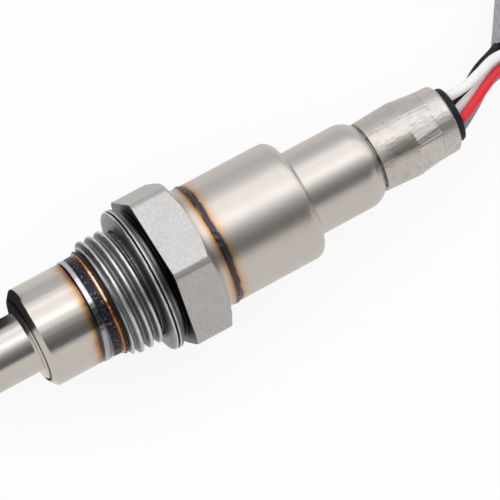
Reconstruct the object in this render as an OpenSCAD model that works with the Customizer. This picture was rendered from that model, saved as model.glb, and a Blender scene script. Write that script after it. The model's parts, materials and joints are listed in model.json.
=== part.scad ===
// Oxygen sensor with five leads: gas tubes at the front, a steel housing with thread and hex,
// a drawn and crimped rear sleeve, and a sleeved harness that ends in a sealed plug.
// X runs along the sensor with the cable at +X. The origin is the centre of the seat, where the
// gasket meets the hex. The sensor lies on one flat of its hex, as on a bench.

/* [Gas tubes] */
// Outside diameter of the narrow tip tube
tip_d = 9.2; // [7.5:0.1:11]
// Length of the tip tube in front of the wide tube
tip_len = 10.5; // [8:0.5:14]
// Wall of the tip tube
tip_wall = 0.4; // [0.3:0.05:0.6]
// Outside diameter of the inner gas tube
inner_tube_d = 6.8; // [5.8:0.1:7.2]
// Diameter of a gas hole in the tip tube
gas_hole_d = 1.8; // [1.2:0.1:2.4]
// Number of gas holes round the tip tube
gas_holes = 8; // [4:1:10]
// Outside diameter of the wide front tube
base_d = 15.4; // [13:0.1:16]
// Length of the wide front tube
base_len = 8.35; // [7:0.1:12]
// Wall of the wide front tube
base_wall = 0.7; // [0.5:0.05:1]

/* [Housing] */
// Major diameter of the mounting thread
thread_d = 18; // [17:0.1:22]
// Length of the thread
thread_len = 5; // [4:0.1:9]
// Length of the plain neck between the thread and the seat
neck_len = 2.4; // [2.2:0.1:4]
// Depth of the neck below the thread's crests
neck_depth = 1; // [0.7:0.1:1.4]
// Size of the hex across its flats
hex_af = 22; // [20:0.1:27]
// Length of the hex
hex_len = 7.6; // [6:0.1:10]
// How much turning takes off across the hex's corners
hex_corner_cut = 0.6; // [0.3:0.05:1]
// Length of the collar behind the hex
collar_len = 1.95; // [1.5:0.05:3]
// Thickness of the crush gasket
gasket_t = 1.7; // [1.2:0.1:2.2]

/* [Sealing stack] */
// Diameter of the ceramic bushings
bushing_d = 10.3; // [8.5:0.1:12]
// Length of the lower ceramic bushing
lower_bushing_len = 5; // [4:0.1:6]
// Length of the powder packing
packing_len = 5; // [3:0.1:6]
// Width of the sensing element
element_w = 4; // [3:0.1:4.8]
// Thickness of the sensing element
element_t = 1.3; // [1:0.1:1.6]

/* [Rear sleeve] */
// Outside diameter of the wide stretch
sleeve_d = 18.3; // [17:0.1:22]
// Length of the wide stretch
sleeve_len = 15.15; // [12.6:0.05:20]
// Wall of the wide stretch
sleeve_wall = 0.6; // [0.4:0.05:0.8]
// Outside diameter of the narrow stretch
small_d = 13; // [12:0.1:15]
// Length of the narrow stretch up to its rounding
small_len = 9.1; // [8:0.1:12]
// Wall of the narrow stretch
small_wall = 0.5; // [0.4:0.05:0.6]
// Length of the rounding that ends in the neck groove
rounding_len = 2.5; // [2.2:0.1:3.5]
// Diameter across opposite flats of the crimp at its widest
crimp_d = 11.1; // [10:0.1:12]
// Length of the front band of the crimp
crimp_front_len = 6.2; // [4.6:0.1:7]
// Length of the rear band of the crimp
crimp_rear_len = 3.8; // [3:0.1:5]
// Length of the plain rim behind the crimp
rim_len = 2.9; // [2:0.1:4]
// Number of jaws that pressed the crimp
jaws = 8; // [6:1:10]
// Width of the ridge left between two jaws
ridge_w = 0.7; // [0.4:0.05:1]

/* [Leads] */
// Outside diameter of one lead
wire_d = 1.5; // [1.2:0.05:1.7]
// Distance of the four outer leads from the middle of the grommet
wire_ring_r = 2.6; // [2.3:0.05:2.9]
// How far the grommet stands out of the sleeve
grommet_out = 1.2; // [0.4:0.1:1.5]
// Outside diameter of the sleeving over the leads
sleeving_d = 6; // [5:0.1:7]

/* [Plug] */
// Length of the plug with its rear cap
plug_len = 38; // [34:0.5:46]
// Width of the plug
plug_w = 24; // [22:0.5:30]
// Height of the plug
plug_h = 15; // [14:0.5:19]
// Wall of the plug's shroud
shroud_wall = 2; // [1.5:0.1:2.5]
// Depth of the mouth that the mating plug enters
mouth_depth = 14; // [12:0.5:17]
// Distance between two pins in a row
pin_pitch = 5; // [4:0.1:6]

/* [Hidden] */

// Clearance between parts that slide together
fit = 0.03;
$fn = 96;

// Stations along the axis, from the seat forwards
thread_rear = -neck_len;
thread_front = thread_rear - thread_len;
lead_in = 0.4;
groove_len = 1.3;
weld_ring_len = 1.45;
groove_front = thread_front - lead_in - groove_len;
base_rear = groove_front - weld_ring_len;
base_front = base_rear - base_len;
tip_front = base_front - tip_len;
flange_front = base_front + base_wall;
inner_tube_wall = 0.35;
nose_front = flange_front + tip_wall + inner_tube_wall;
// The tip tube's root steps out to this radius, which the wide tube's rolled rim goes round
step_r = (tip_d + base_d) / 4 - 0.1;
step_out = 0.15;
rim_round = min(1.3, base_d / 2 - step_r - fit - 0.1);
tip_round = 1;
// Holes of the gas tubes: their distance behind the tip, and the hole in each tube's end
tip_holes_at = 2.6;
tip_end_hole_r = 1.2;
inner_front = tip_front + 1.2;
inner_holes = 6;
inner_hole_d = 1.4;
inner_holes_at = 5.8;
inner_end_hole_r = 0.9;
inner_root = flange_front + tip_wall - inner_tube_wall;
inner_root_r = inner_tube_d / 2 + 0.6;

// Stations from the seat to the rear
hex_rear = hex_len;
collar_rear = hex_rear + collar_len;
spigot_len = 2.45;
lip_t = 0.8;
lock_ring_t = 0.8;
housing_rear = collar_rear + spigot_len + 0.6;
lock_ring_front = housing_rear - lip_t - lock_ring_t;
stack_front = thread_front + lead_in;
packing_front = stack_front + lower_bushing_len;
upper_front = packing_front + packing_len;

shoulder_rear = collar_rear + sleeve_len;
rounding_front = shoulder_rear + small_len;
neck_x = rounding_front + rounding_len;
crimp_front = neck_x + 0.3;
crimp_step = crimp_front + crimp_front_len;
crimp_rear = crimp_step + crimp_rear_len;
sleeve_rear = crimp_rear + rim_len;
grommet_rear = sleeve_rear + grommet_out;

// Radii of the housing
thread_r = thread_d / 2;
neck_r = thread_r - neck_depth;
nose_r = base_d / 2 - base_wall - fit;
weld_ring_r = base_d / 2 + 0.1;
groove_r = weld_ring_r - 0.5;
stack_r = bushing_d / 2;
bore_r = stack_r + fit;
land_r = min(3.2, bore_r - 1.2);
spigot_r = sleeve_d / 2 - sleeve_wall - fit;
collar_r = sleeve_d / 2 + 0.05;
lip_r = bore_r + 1.3;
front_bore_r = min(inner_tube_d / 2 + 1.5, nose_r - 1);
hex_corner_r = hex_af / 2 / cos(30);

// Radii of the rear sleeve
small_r = small_d / 2;
small_in_r = small_r - small_wall;
shoulder_round = 1.6;
neck_out_r = crimp_d / 2 - 0.25;
rounding_drop = small_r - neck_out_r;
rounding_r = (rounding_len * rounding_len + rounding_drop * rounding_drop) / 2 / rounding_drop;
rounding_angle = asin(rounding_len / rounding_r);
crimp_in_r = crimp_d / 2 - 0.67;
rim_in_r = crimp_in_r - 0.4;
ridge_r = crimp_d / 2 + 0.23;
jaw_turn = 16.4;

// The element and its contacts
element_front = tip_front + 2.5;
element_rear = housing_rear + 8.4;
window_w = 7;
window_h = 4.6;
strip_t = 0.25;
strip_w = 0.9;
strip_z = window_h / 2 - strip_t / 2;
pocket_len = 2.4;
barrel_len = 5.4;
barrel_r = wire_d / 2 + 0.3;
barrel_in_r = wire_d / 2 + fit;
barrel_hole_r = barrel_r + fit;
flange_x = shoulder_rear - sleeve_wall;
holder_rear = flange_x - 1.5;
barrel_front = holder_rear + pocket_len - 0.1;
guide_rear = rounding_front - 0.8;
front_holder_r = sleeve_d / 2 - sleeve_wall - 0.95;

// Leads in the grommet: the four outer ones on a ring and one in the middle, as [y, z]
lead_angles = [48, -42, 0, 138, 228];
lead_out = [1, 1, 0, 1, 1];
leads = [for (i = [0:4]) wire_ring_r * lead_out[i] * [cos(lead_angles[i]), sin(lead_angles[i])]];

// Pads on the element that each lead's contact presses on, as [y, side]
pads = [[1.3, 1], [0.85, -1], [0, 1], [-1.3, 1], [-0.85, -1]];

// The bench, on a flat of the hex. The cords' points are measured from the grommet's rear on the axis
bench_z = -hex_af / 2;
cord_from = [grommet_rear, 0, 0];
mouth_at = cord_from + [14.1, 5.8, -4];

// Routes of the five leads from the grommet to the mouth of the sleeving
white_1_route = [[3.7, 2.15, 1.5], [6.7, 3.3, 0.4], [9.9, 4.7, -0.9], [13.5, 5.5, -2.1]];
black_route = [[2.7, 2.4, -2.1], [5.2, 3.7, -2.7], [8.3, 5.5, -3.1], [12.2, 6.9, -3]];
white_2_route = [[3.5, 1, -0.55], [6.1, 2.2, -1.7], [8.7, 3.75, -3], [12.7, 6, -4.8]];
red_route = [[3.9, -0.25, 0.7], [7, 1.55, -0.45], [9.9, 3.15, -1.95], [14.7, 4.4, -3.5]];
grey_route = [[4.1, 0.2, -2.3], [7.8, 3, -4.6], [10.7, 4.3, -5.9], [14.3, 4.7, -5.8]];

// Coil of the sleeving beside the sensor, wound clockwise and inwards from where the lead meets it
coil_at = [grommet_rear + 56.5, 9];
coil_r = 33;
coil_start = 142.5;
coil_half = coil_start - 180;
coil_end = -26;
coil_z = bench_z + sleeving_d / 2;
coil_pitch = sleeving_d + 0.1;
coil_trim = 0.5;
coil_inner_r = coil_r - coil_pitch;
coil_entry = [coil_at[0] + coil_r * cos(coil_start), coil_at[1] + coil_r * sin(coil_start), coil_z];
coil_entry_dir = [sin(coil_start), -cos(coil_start), 0];
sleeving_route = [mouth_at, cord_from + [17.5, 10.4, -4.9], cord_from + [22.1, 16.8, -6.6],
    coil_entry - 4.5 * coil_entry_dir, coil_entry - 0.8 * coil_entry_dir, coil_entry];

// The plug lies on the coil, with its mouth towards -X
plug_rim = 0.8;
plug_at = [grommet_rear + 68.8, -18.8, bench_z + sleeving_d + plug_h / 2];
cap_t = 3;
cap_in = 4;
seal_len = 5;
block_front = plug_len - mouth_depth;
cavity_w = plug_w - 2 * shroud_wall;
cavity_h = plug_h - 2 * shroud_wall;
cavity_round = 2;
pin_row_z = 2.4;
hole_gap = 0.15;
countersink = 0.45;
// Lugs of the rear cap and the windows that they snap into
snap_at = cap_t + 1;
snap_len = 2;
snap_w = 5;
// Grip ribs on the plug's sides, keyways in its mouth and guide ribs on its top
grips = 5;
grip_pitch = 1.8;
grip_t = 0.5;
key_w = 1.6;
key_depth = 0.9;
key_at = cavity_w / 4;
guide_t = 1.2;
guide_h = 0.8;
latch_h = 1.6;
latch_w = 6;
pin_len = 8;
pin_lock_t = 2;
mouth_seal_t = 1.6;
pins = [[-pin_pitch, 1], [0, 1], [pin_pitch, 1], [-pin_pitch / 2, -1], [pin_pitch / 2, -1]];
coil_exit = [coil_at[0] + coil_inner_r * cos(coil_end), coil_at[1] + coil_inner_r * sin(coil_end), coil_z];
coil_exit_dir = [sin(coil_end), -cos(coil_end), 0];

// The five leads leave the end of the sleeving in a ring and bow up to their pins in the plug
plug_lead_r = 1.6;
plug_lead_angles = [162, 90, 18, 234, 306];
plug_lead_colours = ["white", "#222222", "white", "crimson", "gray"];
plug_lead_out = 7 * coil_exit_dir + [0, 0, 2];
plug_lead_in = [6.5, 0, 0];
plug_lead_steps = [0, 0.2, 0.4, 0.6, 0.76, 0.9, 1];

// Points of a circular arc, for outlines
function arc(at, r, from, to, n) =
    [for (i = [0:n]) let (a = from + (to - from) * i / n) [at[0] + r * cos(a), at[1] + r * sin(a)]];

// Outline of a rectangle with round corners, centred on the origin
function round_rect(w, h, r) = [for (c = [[1, 1, 0], [-1, 1, 90], [-1, -1, 180], [1, -1, 270]])
    each arc([c[0] * (w / 2 - r), c[1] * (h / 2 - r)], r, c[2], c[2] + 90, 5)];

// A point on the smooth curve between b and c
function between(a, b, c, d, t) = 0.5 * (2 * b + (c - a) * t + (2 * a - 5 * b + 4 * c - d) * t * t
    + (3 * b - a - 3 * c + d) * t * t * t);

// A smooth line through the given points, with n steps between neighbours
function smooth(p, n) = [for (i = [0:len(p) - 2]) for (k = [0:n - 1])
    between(p[max(i - 1, 0)], p[i], p[i + 1], p[min(i + 2, len(p) - 1)], k / n), p[len(p) - 1]];

// A point on the curve from a to d that leaves towards b and arrives from c
function bow(a, b, c, d, t) = pow(1 - t, 3) * a + 3 * pow(1 - t, 2) * t * b + 3 * (1 - t) * t * t * c + t * t * t * d;

function unit(v) = v / norm(v);

function heading(p, i) = unit(p[min(i + 1, len(p) - 1)] - p[max(i - 1, 0)]);

// A tube of round section swept along a line
module swept(line, d, sides) {
    last = len(line) - 1;
    rings = [for (i = [0:last]) let (t = heading(line, i), s = unit(cross([0, 0, 1], t)), u = cross(t, s))
        for (k = [0:sides - 1]) let (a = 360 * k / sides) line[i] + d / 2 * (cos(a) * s + sin(a) * u)];
    walls = [for (i = [0:last - 1]) for (k = [0:sides - 1]) let (n = (k + 1) % sides)
        [i * sides + k, (i + 1) * sides + k, (i + 1) * sides + n, i * sides + n]];
    start = [for (k = [0:sides - 1]) k];
    end = [for (k = [sides - 1:-1:0]) last * sides + k];
    polyhedron(points = rings, faces = concat(walls, [start, end]), convexity = 6);
}

// A turned piece, whose outline is a list of [radius, x]
module turned(outline) {
    rotate([0, 90, 0]) rotate_extrude() polygon(outline);
}

// A rod along X
module rod(r, from, to) {
    translate([from, 0, 0]) rotate([0, 90, 0]) cylinder(r = r, h = to - from);
}

// A bar along X with an outline in Y and Z
module bar(outline, from, to) {
    translate([from, 0, 0]) rotate([90, 0, 90]) linear_extrude(height = to - from) polygon(outline);
}

// A box along X, centred on Y and Z
module block(from, to, w, h) {
    translate([from, -w / 2, -h / 2]) cube([to - from, w, h]);
}

// A drawn cup, closed at its front, whose wall steps out to root_r at root and ends in a flange
module gas_cup(front, r, wall, round, root, root_r, flange, flange_r) {
    bend = min(0.3, (root_r - r) / 3);
    turned(concat([[0, front]], arc([r - round, front + round], round, -90, 0, 6),
        [[r, root - bend], [r + bend, root], [root_r - bend, root], [root_r, root + bend]],
        [[root_r, flange], [flange_r, flange], [flange_r, flange + wall], [root_r - wall, flange + wall],
            [root_r - wall, root + wall], [r - wall, root + wall]],
        arc([r - round, front + round], round - wall, 0, -90, 6), [[0, front + wall]]));
}

// Holes through a tube wall, evenly round the axis
module holes_round(n, x, d, reach) {
    for (i = [0:n - 1]) rotate([360 * i / n, 0, 0]) translate([x, 0, 0]) cylinder(d = d, h = reach, $fn = 24);
}

module tip_tube() {
    color("silver") difference() {
        gas_cup(tip_front, tip_d / 2, tip_wall, tip_round, base_front - step_out, step_r, flange_front, nose_r);
        holes_round(gas_holes, tip_front + tip_holes_at, gas_hole_d, tip_d);
        rod(tip_end_hole_r, tip_front - 1, tip_front + 1);
    }
}

module inner_tube() {
    color("silver") difference() {
        gas_cup(inner_front, inner_tube_d / 2, inner_tube_wall, 0.9, inner_root, inner_root_r,
            flange_front + tip_wall, nose_r);
        holes_round(inner_holes, inner_front + inner_holes_at, inner_hole_d, inner_tube_d);
        rod(inner_end_hole_r, inner_front - 1, inner_front + 1);
    }
}

module base_tube() {
    r = base_d / 2;
    in_r = step_r + fit;
    color("lightgray") turned(concat(
        [[in_r, base_front + 0.15]],
        arc([r - rim_round, base_front + rim_round], rim_round, -90, 0, 8),
        [[r, base_rear - 0.1], [r - 0.1, base_rear], [r - base_wall, base_rear], [r - base_wall, flange_front],
            [in_r, flange_front]]));
}

// Body of the housing in front of and behind the hex
module housing_turning() {
    turned([
        [front_bore_r, nose_front], [nose_r - 0.3, nose_front], [nose_r, nose_front + 0.3],
        [nose_r, base_rear], [weld_ring_r - 0.2, base_rear], [weld_ring_r, base_rear + 0.25],
        [weld_ring_r, groove_front - 0.3], [weld_ring_r - 0.2, groove_front], [groove_r, groove_front + 0.15],
        [groove_r, thread_front - lead_in - 0.35], [groove_r + 0.5, thread_front - lead_in - 0.25],
        [groove_r + 0.6, thread_front - lead_in], [thread_r, thread_front], [thread_r, thread_rear],
        [neck_r, thread_rear + 0.4], [neck_r, 0.2], [collar_r, 0.2],
        [collar_r, collar_rear], [spigot_r, collar_rear], [spigot_r, collar_rear + spigot_len],
        [lip_r, collar_rear + spigot_len], [lip_r, housing_rear - 0.3], [lip_r - 0.3, housing_rear],
        [bore_r - 0.9, housing_rear], [bore_r - 0.9, housing_rear - lip_t],
        [bore_r, housing_rear - lip_t], [bore_r, stack_front], [land_r, stack_front],
        [land_r, stack_front - 1.6], [front_bore_r, stack_front - 1.6 - (front_bore_r - land_r)]]);
}

// The hex, with its corners turned off and both ends chamfered at 30 degrees
module hex() {
    front_r = min(hex_af / 2 - 0.2, hex_corner_r - 1);
    cut_r = hex_corner_r - hex_corner_cut / 2;
    rear_r = hex_corner_r - 1.2;
    intersection() {
        rotate([0, 90, 0]) rotate([0, 0, 30]) cylinder(r = hex_corner_r, h = hex_len, $fn = 6);
        turned([[collar_r - 0.5, 0], [front_r, 0], [cut_r, (cut_r - front_r) * tan(30)],
            [cut_r, hex_len - (cut_r - rear_r) * tan(30)], [rear_r, hex_len], [collar_r - 0.5, hex_len]]);
    }
}

module housing() {
    color("dimgray") union() {
        housing_turning();
        difference() {
            hex();
            rod(collar_r - 0.3, -1, hex_len + 1);
        }
        turned([[neck_r - 0.4, 0], [collar_r, 0], [collar_r, 1], [neck_r - 0.4, 1]]);
    }
}

// Crush gasket of folded sheet, trapped on the neck behind the thread
module gasket() {
    in_r = neck_r + 0.12;
    out_r = hex_af / 2 - 0.02;
    w = out_r - in_r;
    groove = 0.12;
    color("darkgray") turned([
        [in_r, 0], [out_r - 0.1, 0], [out_r, -0.15], [out_r, -0.55], [out_r - 0.15, -0.72],
        [out_r - w * 0.25, -0.72], [out_r - w * 0.25, -0.72 - groove], [out_r - 0.2, -0.72 - groove],
        [out_r - 0.08, -1], [out_r - 0.2, -1.25], [in_r + w * 0.3, -gasket_t], [in_r + 0.1, -gasket_t],
        [in_r, -gasket_t + 0.2]]);
}

module sensing_element() {
    color("ivory") block(element_front, element_rear, element_w, element_t);
}

// A ceramic bushing with a slot for the element
module bushing(from, to) {
    chamfer = 0.4;
    difference() {
        turned([[0, from], [stack_r - chamfer, from], [stack_r, from + chamfer], [stack_r, to - chamfer],
            [stack_r - chamfer, to], [0, to]]);
        block(from - 1, to + 1, element_w + 0.1, element_t + 0.1);
    }
}

module lower_bushing() {
    color("white") bushing(stack_front, packing_front);
}

module upper_bushing() {
    color("white") bushing(upper_front, lock_ring_front);
}

module powder_packing() {
    color("gainsboro") difference() {
        rod(stack_r + fit / 2, packing_front, upper_front);
        block(packing_front - 1, upper_front + 1, element_w, element_t);
    }
}

module lock_ring() {
    in_r = norm([element_w, element_t]) / 2 + 0.8;
    color("silver") turned([[in_r, lock_ring_front], [stack_r, lock_ring_front],
        [stack_r, lock_ring_front + lock_ring_t], [in_r, lock_ring_front + lock_ring_t]]);
}

module front_holder() {
    r = front_holder_r;
    color("white") difference() {
        turned([[0, housing_rear], [r - 0.6, housing_rear], [r, housing_rear + 0.6],
            [r, holder_rear - 0.4], [r - 0.4, holder_rear], [0, holder_rear]]);
        block(housing_rear - 1, holder_rear + 1, window_w, window_h);
    }
}

// Band with bumps that centres the front holder in the sleeve
module holder_spring() {
    mid = (housing_rear + holder_rear) / 2;
    in_r = front_holder_r + fit;
    out_r = sleeve_d / 2 - sleeve_wall - fit;
    color("silver") difference() {
        union() {
            turned([[in_r, mid - 2], [in_r + 0.3, mid - 2], [in_r + 0.3, mid + 2], [in_r, mid + 2]]);
            for (i = [0:5]) rotate([60 * i, 0, 0]) translate([mid, 0, out_r - 0.8]) cylinder(d = 2, h = 0.75);
        }
        rod(in_r, mid - 3, mid + 3);
    }
}

// Rear ceramic guide, which sits against the shoulder of the sleeve
module rear_holder() {
    flange_r = sleeve_d / 2 - shoulder_round - 0.25;
    r = small_in_r - 0.1;
    color("white") difference() {
        turned([[0, holder_rear], [flange_r, holder_rear], [flange_r, flange_x], [r, flange_x],
            [r, guide_rear - 0.5], [r - 0.5, guide_rear], [0, guide_rear]]);
        block(holder_rear - 1, holder_rear + pocket_len, window_w, window_h + 1.2);
        for (p = leads) translate([0, p[0], p[1]]) rod(barrel_hole_r, holder_rear, guide_rear + 1);
    }
}

// A stamped contact: a bowed strip on the element's pad and a barrel crimped on the lead
module contact(i) {
    y = pads[i][0];
    side = pads[i][1];
    lead = leads[i];
    touch_z = element_t / 2 + strip_t / 2;
    front = housing_rear + 1;
    bow = [[front, strip_z], [front + 1.6, strip_z], [front + 3.4, touch_z], [front + 4.6, touch_z],
        [front + 6.4, strip_z], [holder_rear, strip_z]];
    half = strip_t / 2;
    color("gold") union() {
        mirror([0, 0, side > 0 ? 0 : 1]) translate([0, y + strip_w / 2, 0]) rotate([90, 0, 0])
            linear_extrude(height = strip_w)
                polygon(concat([for (p = bow) [p[0], p[1] - half]],
                    [for (k = [len(bow) - 1:-1:0]) [bow[k][0], bow[k][1] + half]]));
        hull() {
            translate([holder_rear - 0.1, y - strip_w / 2, side * strip_z - half]) cube([0.2, strip_w, strip_t]);
            translate([barrel_front - 0.2, lead[0] - strip_w / 2, lead[1] - half])
                cube([0.4, strip_w, strip_t]);
        }
        translate([0, lead[0], lead[1]]) difference() {
            rod(barrel_r, barrel_front - 0.2, barrel_front + barrel_len);
            rod(barrel_in_r, barrel_front + 0.4, barrel_front + barrel_len + 1);
        }
    }
}

// Outline of the rear sleeve's outside, from the weld bead to the rim
function sleeve_outside() = let (r = sleeve_d / 2, big = shoulder_round) concat(
    [[r + 0.05, collar_rear], [r + 0.14, collar_rear + 0.15], [r + 0.14, collar_rear + 0.5],
        [r, collar_rear + 0.7]],
    arc([r - big, shoulder_rear - big], big, 0, 90, 8),
    [[small_r + 0.25, shoulder_rear], [small_r, shoulder_rear + 0.25]],
    arc([small_r - rounding_r, rounding_front], rounding_r, 0, rounding_angle, 8),
    [[neck_out_r - 0.22, neck_x + 0.05], [neck_out_r - 0.15, neck_x + 0.2], [ridge_r - 0.38, crimp_front],
        [ridge_r - 0.2, crimp_front + 0.5], [ridge_r, crimp_step - 0.4], [ridge_r, crimp_step],
        [ridge_r - 0.6, crimp_rear], [ridge_r - 0.66, sleeve_rear - 0.8]],
    arc([rim_in_r + 0.3, sleeve_rear - 0.3], 0.3, 20, 90, 4));

function sleeve_inside() = let (r = sleeve_d / 2 - sleeve_wall, big = shoulder_round - sleeve_wall) concat(
    [[rim_in_r, sleeve_rear - 0.2], [rim_in_r, crimp_rear], [crimp_in_r, crimp_step],
        [crimp_in_r, crimp_front + 0.2], [neck_out_r - 0.75, neck_x + 0.1]],
    arc([small_r - rounding_r, rounding_front], rounding_r - small_wall, rounding_angle - 4, 0, 8),
    [[small_in_r, flange_x]],
    arc([r - big, flange_x - big], big, 90, 0, 6),
    [[r, collar_rear]]);

// A ring of flat jaws, each pressed in to the radius r_front at its front and r_rear at its rear
module jaw_ring(from, to, r_front, r_rear) {
    tilt = atan((r_rear - r_front) / (to - from));
    flat_w = 2 * r_front * tan(180 / jaws) - ridge_w;
    for (i = [0:jaws - 1]) rotate([jaw_turn + 360 * i / jaws, 0, 0])
        translate([from, 0, r_front]) rotate([0, -tilt, 0]) translate([0, -flat_w / 2, 0])
            cube([(to - from) / cos(tilt), flat_w, 3]);
}

module rear_sleeve() {
    flat_r = crimp_d / 2;
    color("silver") difference() {
        turned(concat(sleeve_outside(), sleeve_inside()));
        jaw_ring(crimp_front - 0.3, crimp_step - 0.1, flat_r - 0.3, flat_r - 0.02);
        jaw_ring(crimp_step + 0.1, crimp_rear, flat_r + 0.02, flat_r - 0.5);
    }
}

module grommet() {
    front = crimp_front + 0.4;
    r = crimp_in_r - fit;
    rear_r = rim_in_r - fit;
    out_r = rim_in_r - 0.3;
    color("#222224") difference() {
        turned([[0, front], [r - 0.4, front], [r, front + 0.4], [r, crimp_step], [rear_r, crimp_rear],
            [rear_r, sleeve_rear - 0.3], [out_r, sleeve_rear - 0.1], [out_r, grommet_rear - 0.35],
            [out_r - 0.1, grommet_rear - 0.1], [out_r - 0.4, grommet_rear], [0, grommet_rear]]);
        for (p = leads) translate([0, p[0], p[1]]) rod(wire_d / 2 + fit, front - 1, grommet_rear + 1);
    }
}

// A lead from its contact through the grommet to the mouth of the sleeving
module wire(i, route, paint) {
    lead = leads[i];
    straight_end = grommet_rear + 0.8;
    color(paint) union() {
        translate([0, lead[0], lead[1]]) rod(wire_d / 2, barrel_front + 0.5, straight_end);
        swept(concat([[straight_end - 0.2, lead[0], lead[1]], [straight_end + 0.2, lead[0], lead[1]]],
            [for (p = route) cord_from + p]), wire_d - fit, 8);
    }
}

module sleeving_lead() {
    color("darkgray") swept(smooth(sleeving_route, 2), sleeving_d, 12);
}

// A stretch of the coil at one radius, between two angles
module coil_arc(r, from, to) {
    rotate([0, 0, from]) rotate_extrude(angle = to - from) translate([r, 0]) circle(d = sleeving_d, $fn = 32);
}

// A short straight that joins two stretches of the coil, a trace thinner than they are
module coil_link(r, at) {
    rotate([0, 0, at]) translate([r, 0, 0]) rotate([90, 0, 0])
        cylinder(d = sleeving_d - 0.1, h = 4 * coil_r * sin(coil_trim), center = true, $fn = 32);
}

// The coil: two half turns that step inwards, and the arc that ends under the plug's leads
module sleeving_coil() {
    step = coil_pitch / 2;
    color("gray") translate([coil_at[0], coil_at[1], coil_z]) union() {
        coil_arc(coil_r, coil_half + coil_trim, coil_start);
        coil_link(coil_r, coil_half);
        translate([step * cos(coil_half), step * sin(coil_half), 0])
            coil_arc(coil_r - step, coil_half - 180 + coil_trim, coil_half - coil_trim);
        coil_link(coil_inner_r, coil_start);
        coil_arc(coil_inner_r, coil_end, coil_start - coil_trim);
    }
}

// Puts a piece that is drawn with its rear at 0 and its mouth at +X where the plug lies
module on_plug() {
    translate(plug_at) rotate([0, 0, 180]) children();
}

function pin_at(i) = [pins[i][0], pins[i][1] * pin_row_z];

// Holes for the five pins or their leads
module pin_holes(r, from, to) {
    for (i = [0:4]) translate([0, pin_at(i)[0], pin_at(i)[1]]) rod(r, from, to);
}

// Ramp on the plug's top that the mating plug's latch rides over
module latch_ramp() {
    translate([0, latch_w / 2, plug_h / 2 - 0.2]) rotate([90, 0, 0]) linear_extrude(height = latch_w)
        polygon([[block_front + 3, 0], [block_front + 3, latch_h + 0.2], [block_front + 5, latch_h + 0.2],
            [block_front + 8, 0.2], [block_front + 8, 0]]);
}

// Guide rib along the top of the plug, on one side of the latch
module guide_rib(side) {
    translate([cap_t + 2, side * (plug_w / 2 - 5) - guide_t / 2, plug_h / 2 - 0.2])
        cube([plug_len - cap_t - 4, guide_t, guide_h + 0.2]);
}

// Upright ribs on one side of the plug, where fingers hold it
module grip_ribs(side) {
    h = plug_h - 7;
    for (k = [0:grips - 1]) translate([block_front - 4 - k * grip_pitch, side * plug_w / 2 - grip_t, -h / 2])
        cube([grip_pitch / 2, 2 * grip_t, h]);
}

// A lug of the rear cap that reaches out to y, or with a gap round it the window for that lug
module snap(side, gap, y) {
    from = cavity_w / 2 - 0.5;
    translate([snap_at - gap, side > 0 ? from : -y, -snap_w / 2 - gap])
        cube([snap_len + 2 * gap, y - from, snap_w + 2 * gap]);
}

// Groove in the mouth's upper wall that keys the mating plug
module keyway(side) {
    translate([block_front + 2, side * key_at - key_w / 2, cavity_h / 2 - 0.5])
        cube([mouth_depth, key_w, key_depth + 0.5]);
}

module plug_housing() {
    block_rear = cap_t + cap_in + seal_len;
    color("#26262a") on_plug() difference() {
        union() {
            bar(round_rect(plug_w, plug_h, 3), cap_t, plug_len);
            translate([0, 0, plug_rim / 2])
                bar(round_rect(plug_w + 2 * plug_rim, plug_h + plug_rim, 3.5), block_front - 1.5, block_front);
            latch_ramp();
            for (side = [-1, 1]) guide_rib(side);
            for (side = [-1, 1]) grip_ribs(side);
        }
        bar(round_rect(cavity_w, cavity_h, cavity_round), block_front, plug_len + 1);
        bar(round_rect(cavity_w, cavity_h, cavity_round), cap_t - 1, block_rear);
        bar(round_rect(cavity_w - 2, cavity_h - 2, 1.5), block_front - pin_lock_t, block_front + 1);
        for (side = [-1, 1]) keyway(side);
        for (side = [-1, 1]) snap(side, fit, plug_w / 2 + 1);
        pin_holes(barrel_hole_r, block_rear - 1, block_front);
    }
}

module pin_lock() {
    color("mediumpurple") on_plug() difference() {
        bar(round_rect(cavity_w - 2 - 2 * fit, cavity_h - 2 - 2 * fit, 1.5), block_front - pin_lock_t,
            block_front);
        pin_holes(barrel_hole_r, block_front - pin_lock_t - 1, block_front + 1);
    }
}

module mouth_seal() {
    color("orangered") on_plug() difference() {
        bar(round_rect(cavity_w - 2 * fit, cavity_h - 2 * fit, cavity_round), block_front,
            block_front + mouth_seal_t);
        bar(round_rect(cavity_w - 2.4, cavity_h - 2.4, 1.2), block_front - 1, block_front + mouth_seal_t + 1);
    }
}

module wire_seal() {
    color("orangered") on_plug() difference() {
        for (k = [0:2]) {
            at = cap_t + cap_in + k * seal_len / 3;
            bar(round_rect(cavity_w - 1, cavity_h - 1, 1.6), at, at + seal_len / 3);
            bar(round_rect(cavity_w - 2 * fit, cavity_h - 2 * fit, cavity_round), at + 0.4, at + 1.1);
        }
        pin_holes(wire_d / 2 + fit, cap_t + cap_in - 1, cap_t + cap_in + seal_len + 1);
    }
}

module rear_cap() {
    color("#303034") on_plug() difference() {
        union() {
            bar(round_rect(plug_w, plug_h, 3), 0, cap_t);
            bar(round_rect(cavity_w - 2 * fit, cavity_h - 2 * fit, cavity_round), cap_t - 0.2, cap_t + cap_in);
            for (side = [-1, 1]) snap(side, 0, cavity_w / 2 + 0.6 * shroud_wall);
        }
        pin_holes(wire_d / 2 + hole_gap, -1, cap_t + cap_in + 1);
        for (i = [0:4]) translate([-0.01, pin_at(i)[0], pin_at(i)[1]]) rotate([0, 90, 0])
            cylinder(r1 = wire_d / 2 + hole_gap + countersink, r2 = wire_d / 2 + hole_gap, h = countersink);
    }
}

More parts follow.
